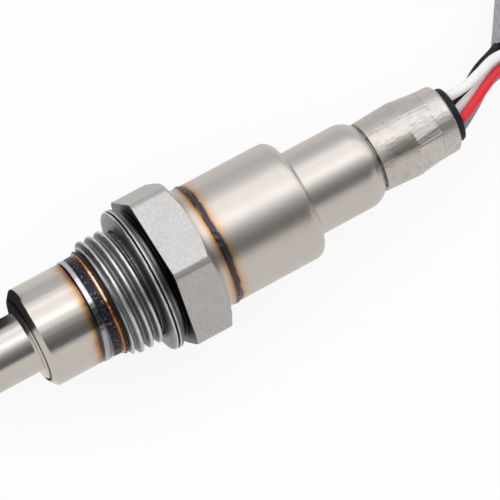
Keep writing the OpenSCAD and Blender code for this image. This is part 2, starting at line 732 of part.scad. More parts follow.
// A pin with its blade in the mouth and its barrel on the lead
module plug_pin(i) {
    rear = cap_t + cap_in + seal_len + 0.2;
    tip = block_front + pin_len;
    color("gold") on_plug() translate([0, pin_at(i)[0], pin_at(i)[1]]) difference() {
        union() {
            rod(barrel_r, rear, block_front - 0.3);
            translate([0, 0.75, 0]) rotate([90, 0, 0]) linear_extrude(height = 1.5)
                polygon([[block_front - 1, -0.4], [tip - 1, -0.4], [tip, -0.15], [tip, 0.15],
                    [tip - 1, 0.4], [block_front - 1, 0.4]]);
        }
        rod(barrel_in_r, rear - 1, rear + 3.5);
    }
}

// A lead from the end of the sleeving up to its pin in the plug
module plug_wire(i, paint) {
    pin = pin_at(i);
    a = plug_lead_angles[i];
    side = [-coil_exit_dir[1], coil_exit_dir[0], 0];
    from = coil_exit + 0.3 * coil_exit_dir + plug_lead_r * (cos(a) * side + [0, 0, sin(a)]);
    to = plug_at + [0.8, -pin[0], pin[1]];
    line = [for (t = plug_lead_steps) bow(from, from + plug_lead_out, to + plug_lead_in, to, t)];
    inside = cap_t + cap_in + seal_len + 3;
    color(paint) union() {
        on_plug() translate([0, pin[0], pin[1]]) rod(wire_d / 2, -1, inside);
        swept(line, wire_d - fit, 8);
    }
}

tip_tube();
inner_tube();
base_tube();
housing();
gasket();
sensing_element();
lower_bushing();
powder_packing();
upper_bushing();
lock_ring();
front_holder();
holder_spring();
rear_holder();
for (i = [0:4]) contact(i);
rear_sleeve();
grommet();
wire(0, white_1_route, "white");  // wire_white_1
wire(1, black_route, "#222222");  // wire_black
wire(2, white_2_route, "white");  // wire_white_2
wire(3, red_route, "crimson");  // wire_red
wire(4, grey_route, "gray");  // wire_grey
sleeving_lead();
sleeving_coil();
for (i = [0:4]) plug_wire(i, plug_lead_colours[i]);
plug_housing();
pin_lock();
mouth_seal();
wire_seal();
rear_cap();
for (i = [0:4]) plug_pin(i);
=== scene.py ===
"""Looks of an oxygen sensor: heat-tinted gas tubes, a threaded hex housing, a crimped steel sleeve
and a sleeved harness with its plug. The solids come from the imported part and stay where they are."""
import json
import math

import bmesh
import bpy
import numpy as np
from bpy.props import FloatProperty, FloatVectorProperty, IntProperty, PointerProperty
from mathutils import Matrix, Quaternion, Vector


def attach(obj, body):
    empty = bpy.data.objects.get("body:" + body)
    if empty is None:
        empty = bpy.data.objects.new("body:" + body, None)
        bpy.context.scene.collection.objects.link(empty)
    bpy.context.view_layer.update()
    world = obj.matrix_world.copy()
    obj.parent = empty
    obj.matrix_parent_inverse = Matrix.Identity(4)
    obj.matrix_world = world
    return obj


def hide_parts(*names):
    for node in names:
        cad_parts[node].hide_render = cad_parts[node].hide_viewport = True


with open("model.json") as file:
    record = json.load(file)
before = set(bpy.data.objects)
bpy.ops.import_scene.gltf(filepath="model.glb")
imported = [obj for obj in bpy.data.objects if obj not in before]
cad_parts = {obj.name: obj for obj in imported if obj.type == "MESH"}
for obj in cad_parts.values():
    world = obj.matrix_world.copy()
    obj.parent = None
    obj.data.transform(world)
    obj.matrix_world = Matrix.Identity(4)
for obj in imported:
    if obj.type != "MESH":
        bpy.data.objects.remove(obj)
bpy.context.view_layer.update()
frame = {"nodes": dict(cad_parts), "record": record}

bl_info = {
    "name": "Oxygen sensor looks",
    "version": (1, 0, 0),
    "blender": (4, 5, 0),
    "location": "View3D > Sidebar > Sensor",
    "description": "Builds the visible pieces and finishes of an oxygen sensor on its packed frame",
    "category": "Object",
}

MM = 0.001
NODES = frame["nodes"]
MOUNTS = {m["name"]: m for m in frame["record"]["mounts"]}
THREAD_R = MOUNTS["thread"]["dims"]["r_mm"]
HEX_FLAT_R = MOUNTS["hex_flat"]["pos_m"][2] / MM
BENCH_Z, BENCH_HALF = -HEX_FLAT_R, 1500

# Stations along the axis in millimetres, as in the part's source
BASE_FRONT, BASE_REAR = -18.9, -10.3
THREAD_FRONT, THREAD_REAR = -7.4, -2.4
HEX_REAR, COLLAR_REAR = 7.6, 9.55
SHOULDER_REAR, ROUNDING_FRONT = 24.7, 33.8
CRIMP_STEP, CRIMP_REAR = 42.8, 46.6
SLEEVE_REAR, GROMMET_REAR = 49.5, 50.7
# Stations and measures that the looks take from the photographed sensor
HEX_FACE, NECK_X, CRIMP_FRONT = 1.42, 36.45, 36.75
WELD_LEAN = 0.6
# Radii in millimetres
WIDE_R, BORE_R, RING_R, SKIN_R = 7.56, 5.18, 7.7, 7.1
COLLAR_R, SLEEVE_R, NARROW_R, SLEEVE_WALL = 9.2, 9.15, 6.5, 0.6
JAWED_R = 4.9
# A crest of the thread passes this station at this angle in degrees
CREST_X, CREST_ANGLE = -2.95, 69

# Routes of the leads and of the sleeving in millimetres, as in the part's source
LEAD_PLACES = [(2.6, 48), (2.6, -42), (0, 0), (2.6, 138), (2.6, 228)]
LEAD_STARTS = (43.5, 46.5, GROMMET_REAR, GROMMET_REAR + 0.8)
LEAD_ROUTES = [
    [(54.4, 2.15, 1.5), (57.4, 3.3, 0.4), (60.6, 4.7, -0.9), (64.2, 5.5, -2.1)],
    [(53.4, 2.4, -2.1), (55.9, 3.7, -2.7), (59, 5.5, -3.1), (62.9, 6.9, -3)],
    [(54.2, 1, -0.55), (56.8, 2.2, -1.7), (59.4, 3.75, -3), (63.4, 6, -4.8)],
    [(54.6, -0.25, 0.7), (57.7, 1.55, -0.45), (60.6, 3.15, -1.95), (65.4, 4.4, -3.5)],
    [(54.8, 0.2, -2.3), (58.5, 3, -4.6), (61.4, 4.3, -5.9), (65, 4.7, -5.8)],
]
LEAD_NAMES = ["white_1", "black", "white_2", "red", "grey"]
LEAD_OFF_CENTRE = 1.6
MOUTH = (64.8, 5.8, -4)
COIL_AT, COIL_R, COIL_START, COIL_END = (107.2, 9), 33, 142.5, -26
COIL_PITCH, COIL_Z = 6.1, BENCH_Z + 3
RING_TURN, LAST_RINGS, RING_POINTS = 3, 56, 48
PLUG_REAR = (119.5, -18.8, 2.5)
PIN_PLACES = [(-5, 2.4), (0, 2.4), (5, 2.4), (-2.5, -2.4), (2.5, -2.4)]
PLUG_LEAD_ANGLES = [162, 90, 18, 234, 306]

# What the metal sees round the axis: degrees from the top towards -Y, and strength in red, with the
# shares of it in green and blue where the panel isn't white
PANELS = [
    (-180, 0.8), (-105, 0.68), (-70, 0.69), (-56, 0.76), (-46, 1.1), (-40, 1.62), (-31, 1.5), (-22, 1.28),
    (-12, 1.5), (-5, 1.95), (4, 1.85), (12, 1.1), (26, 0.46), (42, 0.2), (60, 0.12), (66, 0.2),
    (70, 0.78, 0.98, 0.95), (76, 0.9, 0.965, 0.93), (180, 0.88, 0.965, 0.93),
]


def length(label, about, size):
    """A size in metres that a user can change."""
    return FloatProperty(name=label, description=about, default=size, unit="LENGTH")


def paint(label, about, colour):
    """A colour that a user can change."""
    return FloatVectorProperty(name=label, description=about, default=colour, size=3, min=0, max=1,
                               subtype="COLOR")


class SensorSizes(bpy.types.PropertyGroup):
    thread_pitch: length("Thread pitch", "Distance between two crests", 1.5 * MM)
    thread_depth: length("Thread depth", "Height of a crest over its root", 0.85 * MM)
    hex_edge: length("Hex edge", "Softness of the worn edges of the hex", 0.16 * MM)
    jaws: IntProperty(name="Jaws", description="Jaws that pressed the crimp", default=8, min=4, max=12)
    jaw_turn: FloatProperty(
        name="Turn of the jaws", description="Angle of the first flat from the top", default=math.radians(16.4),
        subtype="ANGLE")
    lead_d: length("Lead", "Diameter of a lead", 1.5 * MM)
    sleeving_d: length("Sleeving", "Outside diameter of the sleeving", 6 * MM)
    sleeving_wall: length("Sleeving wall", "Thickness of the woven wall", 0.45 * MM)
    view_distance: length("Camera distance", "From the camera to the sensor", 0.5)
    view_width: length("Width of the view", "What the picture's width covers at the sensor", 70.4 * MM)


class SensorColours(bpy.types.PropertyGroup):
    steel: paint("Sheet steel", "Satin steel of the tubes and the sleeve", (0.6, 0.565, 0.53))
    hex_steel: paint("Hex", "Matte machined faces of the hex", (0.56, 0.55, 0.54))
    thread_steel: paint("Thread", "Dark oiled steel of the thread", (0.3, 0.3, 0.31))
    tint_gold: paint("Gold tint", "Outer heat tint beside a weld", (0.61, 0.44, 0.28))
    tint_brown: paint("Brown tint", "Inner heat tint beside a weld", (0.44, 0.22, 0.1))
    weld: paint("Weld", "Dark oxide on a weld", (0.07, 0.068, 0.075))
    rubber: paint("Rubber", "Grommet", (0.012, 0.013, 0.015))
    white: paint("White lead", "Insulation of the white leads", (0.92, 0.92, 0.925))
    black: paint("Black lead", "Insulation of the black lead", (0.008, 0.008, 0.008))
    red: paint("Red lead", "Insulation of the red lead", (0.76, 0.035, 0.045))
    grey: paint("Grey lead", "Insulation of the grey lead", (0.27, 0.3, 0.33))
    sleeving: paint("Sleeving", "Yarn of the sleeving", (0.36, 0.37, 0.39))
    plug: paint("Plug", "Moulded plastic of the plug", (0.022, 0.022, 0.025))
    lock: paint("Pin lock", "Plastic of the pin lock", (0.2, 0.08, 0.36))
    seal: paint("Seal", "Silicone of the seals", (0.62, 0.13, 0.03))
    floor: paint("Floor", "Bench under the sensor", (0.86, 0.86, 0.86))


def math_node(operation, swapped=False):
    """A method that takes a socket and one other value through a Math node."""

    def method(self, other):
        pair = (other, self) if swapped else (self, other)
        return self.finish.node("ShaderNodeMath", {"operation": operation}, dict(enumerate(pair)))

    return method


class Sock:
    """A node's output that takes part in sums, on either side; each operator adds a Math node."""

    __add__, __radd__ = math_node("ADD"), math_node("ADD", True)
    __sub__, __rsub__ = math_node("SUBTRACT"), math_node("SUBTRACT", True)
    __mul__, __rmul__ = math_node("MULTIPLY"), math_node("MULTIPLY", True)
    __truediv__, __rtruediv__ = math_node("DIVIDE"), math_node("DIVIDE", True)
    __pow__, __rpow__ = math_node("POWER"), math_node("POWER", True)
    __mod__, __rmod__ = math_node("FLOORED_MODULO"), math_node("FLOORED_MODULO", True)
    __gt__, __lt__ = math_node("GREATER_THAN"), math_node("LESS_THAN")
    low, high = math_node("MINIMUM"), math_node("MAXIMUM")
    angle_over = math_node("ARCTAN2")

    def __init__(self, finish, socket):
        self.finish = finish
        self.socket = socket

    def __abs__(self):
        return self.finish.node("ShaderNodeMath", {"operation": "ABSOLUTE"}, {0: self})

    def floor(self):
        return self.finish.node("ShaderNodeMath", {"operation": "FLOOR"}, {0: self})

    def other(self, output):
        """Another output of the same node."""
        return Sock(self.finish, self.socket.node.outputs[output])

    def between(self, start, end):
        """0 up to start, 1 from end on, and smooth in between."""
        return self.finish.node("ShaderNodeMapRange", {"interpolation_type": "SMOOTHSTEP", "clamp": True},
                                {0: self, 1: start, 2: end, 3: 0.0, 4: 1.0})

    def within(self, start, top, fall, end):
        """0 up to start, 1 from top to fall, and 0 again from end on."""
        return self.between(start, top) * (1 - self.between(fall, end))


class Finish:
    """A node tree under construction: a material's, or the world's."""

    def __init__(self, tree, material=None):
        self.tree = tree
        self.material = material
        tree.nodes.clear()

    def node(self, kind, settings=None, sockets=None, out=0):
        """Adds a node of that kind, with its settings first and then its sockets' values or links."""
        made = self.tree.nodes.new(kind)
        for key, value in (settings or {}).items():
            if key == "stops":
                ramp = made.color_ramp
                while len(ramp.elements) < len(value):
                    ramp.elements.new(0.5)
                for element, (place, colour) in zip(ramp.elements, value):
                    element.position = place
                    element.color = (*colour, 1)
            else:
                setattr(made, key, value)
        for key, value in (sockets or {}).items():
            if isinstance(value, Sock):
                self.tree.links.new(value.socket, made.inputs[key])
            else:
                made.inputs[key].default_value = value
        return Sock(self, made.outputs[out]) if len(made.outputs) else None

    def place(self):
        """Where a point lies in the row's frame, in millimetres."""
        spot = self.node("ShaderNodeTexCoord", out="Object")
        return self.node("ShaderNodeVectorMath", {"operation": "SCALE"}, {0: spot, "Scale": 1 / MM})

    def parts(self, vector):
        """The three numbers of a vector."""
        split = self.node("ShaderNodeSeparateXYZ", {}, {0: vector})
        return split, split.other(1), split.other(2)

    def vector(self, x, y, z):
        return self.node("ShaderNodeCombineXYZ", {}, {0: x, 1: y, 2: z})

    def noise(self, vector, scale, detail=3.0, rough=0.55):
        """Noise from 0 to 1 whose lumps are about 1/scale of the vector's unit."""
        return self.node("ShaderNodeTexNoise", {"noise_dimensions": "3D"},
                         {"Vector": vector, "Scale": scale, "Detail": detail, "Roughness": rough})

    def mix(self, share, a, b, blend="MIX"):
        """Colour a where share is 0, and b where it is 1."""
        pair = [(*c, 1) if isinstance(c, (tuple, list)) else c for c in (a, b)]
        return self.node("ShaderNodeMix", {"data_type": "RGBA", "blend_type": blend},
                         {0: share, 6: pair[0], 7: pair[1]}, out=2)

    def coats(self, colour, *coats):
        """A colour under coats of (share, colour), the last on top."""
        for share, shade in coats:
            colour = self.mix(share, colour, shade)
        return colour

    def ramp(self, value, stops):
        """A colour that follows value, with stops of (value, colour) from the lowest to the highest."""
        start, end = stops[0][0], stops[-1][0]
        share = (value - start) / (end - start)
        spots = [((at - start) / (end - start), colour) for at, colour in stops]
        return self.node("ShaderNodeValToRGB", {"stops": spots}, {0: share})

    def surface(self, height, depth, **sockets):
        """Ends the tree in a Principled shader with those sockets and gives the material.

        The height, from 0 to 1, stands for that depth in millimetres."""
        bump = self.node("ShaderNodeBump", {}, {"Height": height, "Distance": depth * MM, "Strength": 1.0})
        named = {key.replace("_", " ").title().replace("Ior", "IOR"): value for key, value in sockets.items()}
        for key, value in named.items():
            if isinstance(value, tuple):
                named[key] = (*value, 1)
        shader = self.node("ShaderNodeBsdfPrincipled", {}, {**named, "Normal": bump})
        self.node("ShaderNodeOutputMaterial", {}, {"Surface": shader})
        return self.material


def new_finish(name):
    """The node tree of a new material."""
    material = bpy.data.materials.new(name)
    material.use_nodes = True
    return Finish(material.node_tree, material)


def from_axis(y, z):
    """Distance from the sensor's axis."""
    return (y * y + z * z) ** 0.5


def from_top(y, z):
    """Angle round the axis in degrees, from the top towards -Y, from -180 to 180."""
    return (-1 * y).angle_over(z) * math.degrees(1)


def grey(level):
    return level, level, level


def mixed(a, b, share):
    """A colour between two, for stops of a ramp."""
    return tuple(x + (y - x) * share for x, y in zip(a, b))


def placed(name, data, material=None):
    """A new object in the scene, with its material."""
    thing = bpy.data.objects.new(name, data)
    bpy.context.scene.collection.objects.link(thing)
    if material:
        data.materials.append(material)
    return thing


def stand_in(piece, nodes):
    """Puts a piece on the one body in place of those solids."""
    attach(piece, "root")
    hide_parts(*nodes)


def coat(material, *nodes):
    """Puts a material on every slot of solids that are shown as they are."""
    for node in nodes:
        slots = NODES[node].data.materials
        if not slots:
            slots.append(material)
        for i in range(len(slots)):
            slots[i] = material


def make_mesh(name, verts, faces, material, nodes, crease=32, uvs=None):
    """A piece from points in millimetres, in place of those solids."""
    mesh = bpy.data.meshes.new(name)
    mesh.from_pydata([(a * MM, b * MM, c * MM) for a, b, c in verts], [], faces)
    if uvs is not None:
        layer = mesh.uv_layers.new(name="UVMap")
        layer.data.foreach_set("uv", np.asarray(uvs, np.float32).ravel())
    work = bmesh.new()
    work.from_mesh(mesh)
    bmesh.ops.recalc_face_normals(work, faces=work.faces)
    work.to_mesh(mesh)
    work.free()
    mesh.shade_smooth()
    mesh.set_sharp_from_angle(angle=math.radians(crease))
    piece = placed(name, mesh, material)
    stand_in(piece, nodes)
    return piece


def rounded(corners, closed=True):
    """An outline through corners of (x, radius, fillet), each turned by its fillet."""
    count, cuts, nearly_straight = len(corners), 5, math.radians(89)
    line = []
    for i, (x, r, fillet) in enumerate(corners):
        here = Vector((x, r))
        if not closed and i in (0, count - 1) or fillet <= 0:
            line.append(tuple(here))
            continue
        back = (Vector(corners[i - 1][:2]) - here).normalized()
        ahead = (Vector(corners[(i + 1) % count][:2]) - here).normalized()
        half = back.angle(ahead) / 2
        if half > nearly_straight:
            line.append(tuple(here))
            continue
        reach = fillet / math.tan(half)
        middle = here + (back + ahead).normalized() * (fillet / math.sin(half))
        start, end = here + back * reach - middle, here + ahead * reach - middle
        for k in range(cuts + 1):
            line.append(tuple(middle + start.lerp(end, k / cuts).normalized() * fillet))
    return line


def finer(line, longest):
    """The same outline, with its runs cut up where they are longer than longest(x, r)."""
    out = []
    for (x0, r0), (x1, r1) in zip(line, line[1:] + line[:1]):
        run = math.hypot(x1 - x0, r1 - r0)
        cuts = max(1, math.ceil(run / longest((x0 + x1) / 2, (r0 + r1) / 2)))
        out += [(x0 + (x1 - x0) * k / cuts, r0 + (r1 - r0) * k / cuts) for k in range(cuts)]
    return out


def turned(name, line, steps, shape, material, nodes, crease):
    """A closed outline turned round X; shape(x, r, angle) gives the place and radius of each point."""
    angles = np.linspace(0, 2 * math.pi, steps, endpoint=False)
    xs = np.array([p[0] for p in line])[:, None] + 0 * angles
    rs = np.array([p[1] for p in line])[:, None] + 0 * angles
    around = 0 * xs + angles
    xs, rs = shape(xs, rs, around)
    verts = np.stack([xs, rs * np.cos(around), rs * np.sin(around)], axis=-1).reshape(-1, 3)
    rows = len(line)
    i, k = np.meshgrid(np.arange(rows), np.arange(steps), indexing="ij")
    j, n = (i + 1) % rows, (k + 1) % steps
    faces = np.stack([i * steps + k, j * steps + k, j * steps + n, i * steps + n], axis=-1).reshape(-1, 4)
    return make_mesh(name, verts.tolist(), faces.tolist(), material, nodes, crease)


def soft_low(a, b, edge):
    """The lower of two radii, with the edge between them rounded."""
    near = np.clip(0.5 + 0.5 * (b - a) / edge, 0, 1)
    return b + (a - b) * near - edge * near * (1 - near)


def ripple(xs, angles, seed, count):
    """A smooth uneven value round the axis, about -1 to 1."""
    spread = np.random.default_rng(seed)
    total = 0 * xs
    for _ in range(count):
        turns, along = spread.integers(3, 60), spread.uniform(-3, 3)
        total = total + np.sin(turns * angles + along * xs + spread.uniform(0, 6.3))
    return total / math.sqrt(count)


def uneven(xs, rs, angles, stretches):
    """Radii with ripples on stretches of (start, end, above, depth, seed, count, along, around)."""
    for start, end, above, depth, seed, count, along, around in stretches:
        inside = (xs > start) & (xs < end) & (rs > above)
        rs = rs + np.where(inside, depth * ripple(along * xs, around * angles, seed, count), 0)
    return rs


class StageMaker(bpy.types.Operator):
    """Makes the bench, the studio's lamps and cards, and the camera at the photographed angle"""

    bl_idname = "sensor.stage"
    bl_label = "Bench, lamps and camera"

    def execute(self, context):
        scene = context.scene
        scene.view_settings.view_transform = "Standard"
        self.bench(scene.sensor_colours.floor)
        self.surroundings(scene)
        self.card()
        self.lamps()
        self.camera(scene)
        return {"FINISHED"}

    def staged(self, name, verts, faces, material):
        """A sheet of the stage from points in millimetres."""
        mesh = bpy.data.meshes.new(name)
        mesh.from_pydata([tuple(c * MM for c in v) for v in verts], [], faces)
        sheet = placed(name, mesh, material)
        return sheet

    def bench(self, colour):
        """A pale floor that looks white and keeps the sensor's shadow."""
        glowing, less_in_metal = 0.88, 0.14
        f = new_finish("bench_white")
        rays = f.node("ShaderNodeLightPath")
        glossy = rays.other("Is Glossy Ray")
        seen = rays.high(glossy).high(rays.other("Is Transmission Ray"))
        cloth = f.node("ShaderNodeBsdfDiffuse", {}, {"Color": (*colour, 1)})
        warm = f.node("ShaderNodeEmission", {}, {"Color": (1, 0.985, 0.965, 1),
                                                 "Strength": 1 - glossy * less_in_metal})
        white = f.node("ShaderNodeEmission", {}, {"Color": (1, 1, 1, 1), "Strength": 1.0})
        light = f.node("ShaderNodeMixShader", {}, {0: glossy, 1: white, 2: warm})
        both = f.node("ShaderNodeMixShader", {}, {0: seen * glowing, 1: cloth, 2: light})
        f.node("ShaderNodeOutputMaterial", {}, {"Surface": both})
        corners = [(x * BENCH_HALF, y * BENCH_HALF, BENCH_Z) for x, y in ((-1, -1), (1, -1), (1, 1), (-1, 1))]
        self.staged("bench", corners, [(0, 1, 2, 3)], f.material)

    def surroundings(self, scene):
        """A white room; in the metal it shows its panels: pale ones overhead, a dark one in front."""
        ambient, panel_strength = 0.88, 2.0
        world = scene.world or bpy.data.worlds.new("room")
        scene.world = world
        world.use_nodes = True
        f = Finish(world.node_tree)
        x, y, z = f.parts(f.node("ShaderNodeTexCoord", out="Generated"))
        around = from_top(y, z)

        def panel(at, strength, green=1, blue=1):
            red = strength / panel_strength
            return at, (red, red * green, red * blue)

        tip_end, plug_end = (-1 * x).between(0.72, 0.95), x.between(0.7, 0.95)
        panels = f.coats(f.ramp(around, [panel(*stop) for stop in PANELS]), (tip_end, (0.36, 0.355, 0.35)),
                         (plug_end * around.within(-80, -40, 5, 30), (0.75, 0.745, 0.735)))
        rays = f.node("ShaderNodeLightPath")
        plain = f.node("ShaderNodeBackground", {}, {"Color": (1, 1, 1, 1),
                                                    "Strength": ambient + rays * (1 - ambient)})
        shown = f.node("ShaderNodeBackground", {}, {"Color": panels, "Strength": panel_strength})
        sky = f.node("ShaderNodeMixShader", {}, {0: rays.other("Is Glossy Ray"), 1: plain, 2: shown})
        f.node("ShaderNodeOutputWorld", {}, {"Surface": sky})

    def card(self):
        """A dark card on the bench and curved up round the tip, which only the metal sees: painted shade, shown
        only in reflections.
        """
        rows, centre_x, near, far, top = 16, -18, 5, 26, 15
        first_angle, turn, lying_z = 4, 91, BENCH_Z + 0.3
        verts, faces = [], []
        for k in range(rows + 1):
            a = math.radians(first_angle + turn * k / rows)
            verts += [(centre_x - r * math.cos(a), r * math.sin(a), z)
                      for r, z in ((near, lying_z), (far, lying_z), (far, top))]
        for i in range(0, 3 * rows, 3):
            faces += [(i, i + 1, i + 4, i + 3), (i + 1, i + 2, i + 5, i + 4)]
        f = new_finish("tip_card")
        cloth = f.node("ShaderNodeBsdfPrincipled", {}, {"Base Color": (*grey(0.02), 1), "Roughness": 1.0})
        f.node("ShaderNodeOutputMaterial", {}, {"Surface": cloth})
        card = self.staged("tip_card", verts, faces, f.material)
        card.visible_camera = card.visible_diffuse = card.visible_shadow = False

    def lamps(self):
        """Soft boxes as place in metres, width and strength; the metal doesn't show them."""
        for name, place, width, glow in (
            ("overhead_box", (0.03, 0.22, 0.9), 0.7, 0.5),
            ("front_fill", (-0.1, -0.55, 0.75), 0.6, 0.35),
        ):
            data = bpy.data.lights.new(name, "AREA")
            data.shape = "RECTANGLE"
            data.size, data.size_y = 1.2, width
            data.energy = glow * math.pi * data.size * data.size_y
            lamp = placed(name, data)
            lamp.location = place
            lamp.rotation_mode = "QUATERNION"
            lamp.rotation_quaternion = Vector(place).to_track_quat("Z", "Y")
            lamp.visible_glossy = False

    def camera(self, scene):
        """Looks down at 66 degrees from the left of the sensor's front."""
        sizes = scene.sensor_sizes
        azimuth, elevation, roll = math.radians(-30.3), math.radians(66), math.radians(-0.23)
        centre = Vector((14.5, -4.4, 1.6)) * MM
        level = math.cos(elevation)
        back = Vector((math.sin(azimuth) * level, -math.cos(azimuth) * level, math.sin(elevation)))
        data = bpy.data.cameras.new("camera")
        data.sensor_width = 36
        data.lens = data.sensor_width * sizes.view_distance / sizes.view_width
        data.clip_start, data.clip_end = 0.05, 20
        eye = placed("camera", data)
        eye.location = centre + back * sizes.view_distance
        eye.rotation_mode = "QUATERNION"
        eye.rotation_quaternion = (-back).to_track_quat("-Z", "Y") @ Quaternion((0, 0, 1), roll)
        scene.camera = eye


def lead_finish(name, colour):
    """Smooth extruded insulation with faint handling marks."""
    f = new_finish(name)
    place = f.place()
    smudge = f.noise(place, 0.9, 4)
    shade = f.mix(smudge.between(0.45, 0.8) * 0.22, tuple(colour), tuple(c * 0.8 for c in colour))
    return f.surface(f.noise(place, 14, 2), 0.004, base_color=shade, roughness=0.32 + smudge * 0.14,
                     specular_ior_level=0.25)


def weave_finish(name, colour, strands, crossing):
    """Braided yarn from the tube's own coordinates: strands round it that cross every so many millimetres."""
    f = new_finish(name)
    u, v, _ = f.parts(f.node("ShaderNodeUVMap", {"uv_map": "UVMap"}))
    a, b = u * strands + v / crossing, u * strands - v / crossing
    over = ((a.floor() + b.floor()) % 2) > 0.5
    yarn_a, yarn_b = (1 - (abs((yarn % 1) - 0.5) * 2) ** 2.2 for yarn in (a, b))
    height = (yarn_a * over + yarn_b * (1 - over)).high(yarn_a.low(yarn_b) * 0.6)
    threads = f.node("ShaderNodeTexWave", {"wave_type": "BANDS", "bands_direction": "X"},
                     {"Vector": f.vector(a * over + b * (1 - over), 0.0, 0.0), "Scale": 1.4, "Distortion": 0.6})
    place = f.place()
    uneven_dye = f.noise(place, 0.5, 4)
    # Painted shade: the coat whose share grows as the weave's height falls darkens the low parts between the
    # yarns.
    shade = f.coats(tuple(colour), (uneven_dye.between(0.3, 0.8) * 0.4, mixed(colour, grey(0.2), 0.45)),
                    ((1 - height.between(0.0, 0.5)) * 0.6, tuple(c * 0.35 for c in colour)))
    return f.surface(height + threads * 0.16 + f.noise(place, 6, 2) * 0.15, 0.11, base_color=shade,
                     roughness=0.62 + uneven_dye * 0.15, sheen_weight=0.15, sheen_roughness=0.5)


def eased(points, count):
    """A smooth line of about count points through the given ones, by the source's own rule."""
    pts = [Vector(p) for p in points]
    per = max(1, round(count / (len(pts) - 1)))
    line = []
    for i in range(len(pts) - 1):
        a, b, c, d = pts[max(i - 1, 0)], pts[i], pts[i + 1], pts[min(i + 2, len(pts) - 1)]
        for k in range(per):
            t = k / per
            line.append(0.5 * (2 * b + (c - a) * t + (2 * a - 5 * b + 4 * c - d) * t * t
                               + (3 * b - a - 3 * c + d) * t ** 3))
    return line + [pts[-1]]


def cord_curve(name, points, diameter, material):
    """A lead as a round curve through points in millimetres."""
    data = bpy.data.curves.new(name, "CURVE")
    data.dimensions = "3D"
    data.bevel_depth = diameter / 2
    data.bevel_resolution = 6
    data.use_fill_caps = True
    spline = data.splines.new("POLY")
    spline.points.add(len(points) - 1)
    for spot, p in zip(spline.points, points):
        spot.co = (p[0] * MM, p[1] * MM, p[2] * MM, 1)
    spline.use_smooth = True
    return placed(name, data, material)


def on_circle(centre, radius, angle):
    """A point of the coil's level at that angle in degrees round a centre."""
    a = math.radians(angle)
    return Vector((centre[0] + radius * math.cos(a), centre[1] + radius * math.sin(a), COIL_Z))


def heading(angle):
    """The way the coil runs at that angle in degrees."""
    a = math.radians(angle)
    return Vector((math.sin(a), -math.cos(a), 0))


def sleeving_line():
    """Ring centres of the sleeving: up to the coil, two half turns that step in, and the last arc."""
    entry, ahead = on_circle(COIL_AT, COIL_R, COIL_START), heading(COIL_START)
    line = eased([MOUTH, (68.2, 10.4, -4.9), (72.8, 16.8, -6.6), entry - 4.5 * ahead, entry - 0.8 * ahead,
                  entry], 25)
    half, step = math.radians(COIL_START - 180), COIL_PITCH / 2
    second = (COIL_AT[0] + step * math.cos(half), COIL_AT[1] + step * math.sin(half))
    turns = [RING_TURN * k for k in range(1, 180 // RING_TURN + 1)]
    line += [on_circle(COIL_AT, COIL_R, COIL_START - turn) for turn in turns]
    line += [on_circle(second, COIL_R - step, COIL_START - 180 - turn) for turn in turns]
    last = COIL_START - COIL_END
    return line + [on_circle(COIL_AT, COIL_R - COIL_PITCH, COIL_START - last * k / LAST_RINGS)
                   for k in range(1, LAST_RINGS + 1)]


class LeadMaker(bpy.types.Operator):
    """Makes the five leads from the grommet to the sleeving, and on from the sleeving to the plug"""

    bl_idname = "sensor.leads"
    bl_label = "Leads"

    def execute(self, context):
        diameter, hue = context.scene.sensor_sizes.lead_d, context.scene.sensor_colours
        line = sleeving_line()
        finishes = {}
        for i, label in enumerate(LEAD_NAMES):
            kind = label.split("_")[0]
            if kind not in finishes:
                finishes[kind] = lead_finish(f"insulation_{kind}", getattr(hue, kind))
            pin = i + 1
            for name, node, (points, leaves), far_end, carried in (
                (f"lead_{label}", f"wire_{label}", self.route(i, line), "object", []),
                (f"plug_lead_{pin}", f"plug_wire_{pin}", self.plug_route(i, line), "connector",
                 [f"plug_pin_{pin}"]),
            ):
                cord = cord_curve(name, points, diameter, finishes[kind])
                stand_in(cord, [node])
                [c * MM for c in leaves]
        return {"FINISHED"}

    def route(self, i, sleeving):
        """From inside the grommet, along the source's route, and on inside the sleeving."""
        out, angle = LEAD_PLACES[i][0], math.radians(LEAD_PLACES[i][1])
        y, z = out * math.cos(angle), out * math.sin(angle)
        ahead = (sleeving[2] - sleeving[0]).normalized()
        away = Vector(LEAD_ROUTES[i][-1]) - sleeving[0]
        away = away - ahead * away.dot(ahead)
        away = away.normalized() * min(away.length, LEAD_OFF_CENTRE)
        inner = [tuple(sleeving[k] + away) for k in (3, 6, 9)]
        return eased([(x, y, z) for x in LEAD_STARTS] + LEAD_ROUTES[i] + inner, 36), (GROMMET_REAR, y, z)

    def plug_route(self, i, sleeving):
        """From inside the end of the sleeving, in a bow up to its pin in the plug."""
        end, ahead, count = sleeving[-1], heading(COIL_END), 24
        side = Vector((-ahead.y, ahead.x, 0))
        turn = math.radians(PLUG_LEAD_ANGLES[i])
        away = LEAD_OFF_CENTRE * (math.cos(turn) * side + Vector((0, 0, math.sin(turn))))
        across, up = PIN_PLACES[i]
        first = end + 0.3 * ahead + away
        last = Vector(PLUG_REAR) + Vector((0.8, -across, up))
        lift, lead_in = first + 7 * ahead + Vector((0, 0, 2)), last + Vector((6.5, 0, 0))
        before = [end - back * ahead + away for back in (5.5, 3.5, 1.5)]
        bow = [(1 - t) ** 3 * first + 3 * (1 - t) ** 2 * t * lift + 3 * (1 - t) * t * t * lead_in
               + t ** 3 * last for t in (k / count for k in range(count + 1))]
        after = [last + Vector((-x, 0, 0)) for x in (1.5, 4, 7, 10)]
        return [tuple(p) for p in before + bow + after], tuple(end)


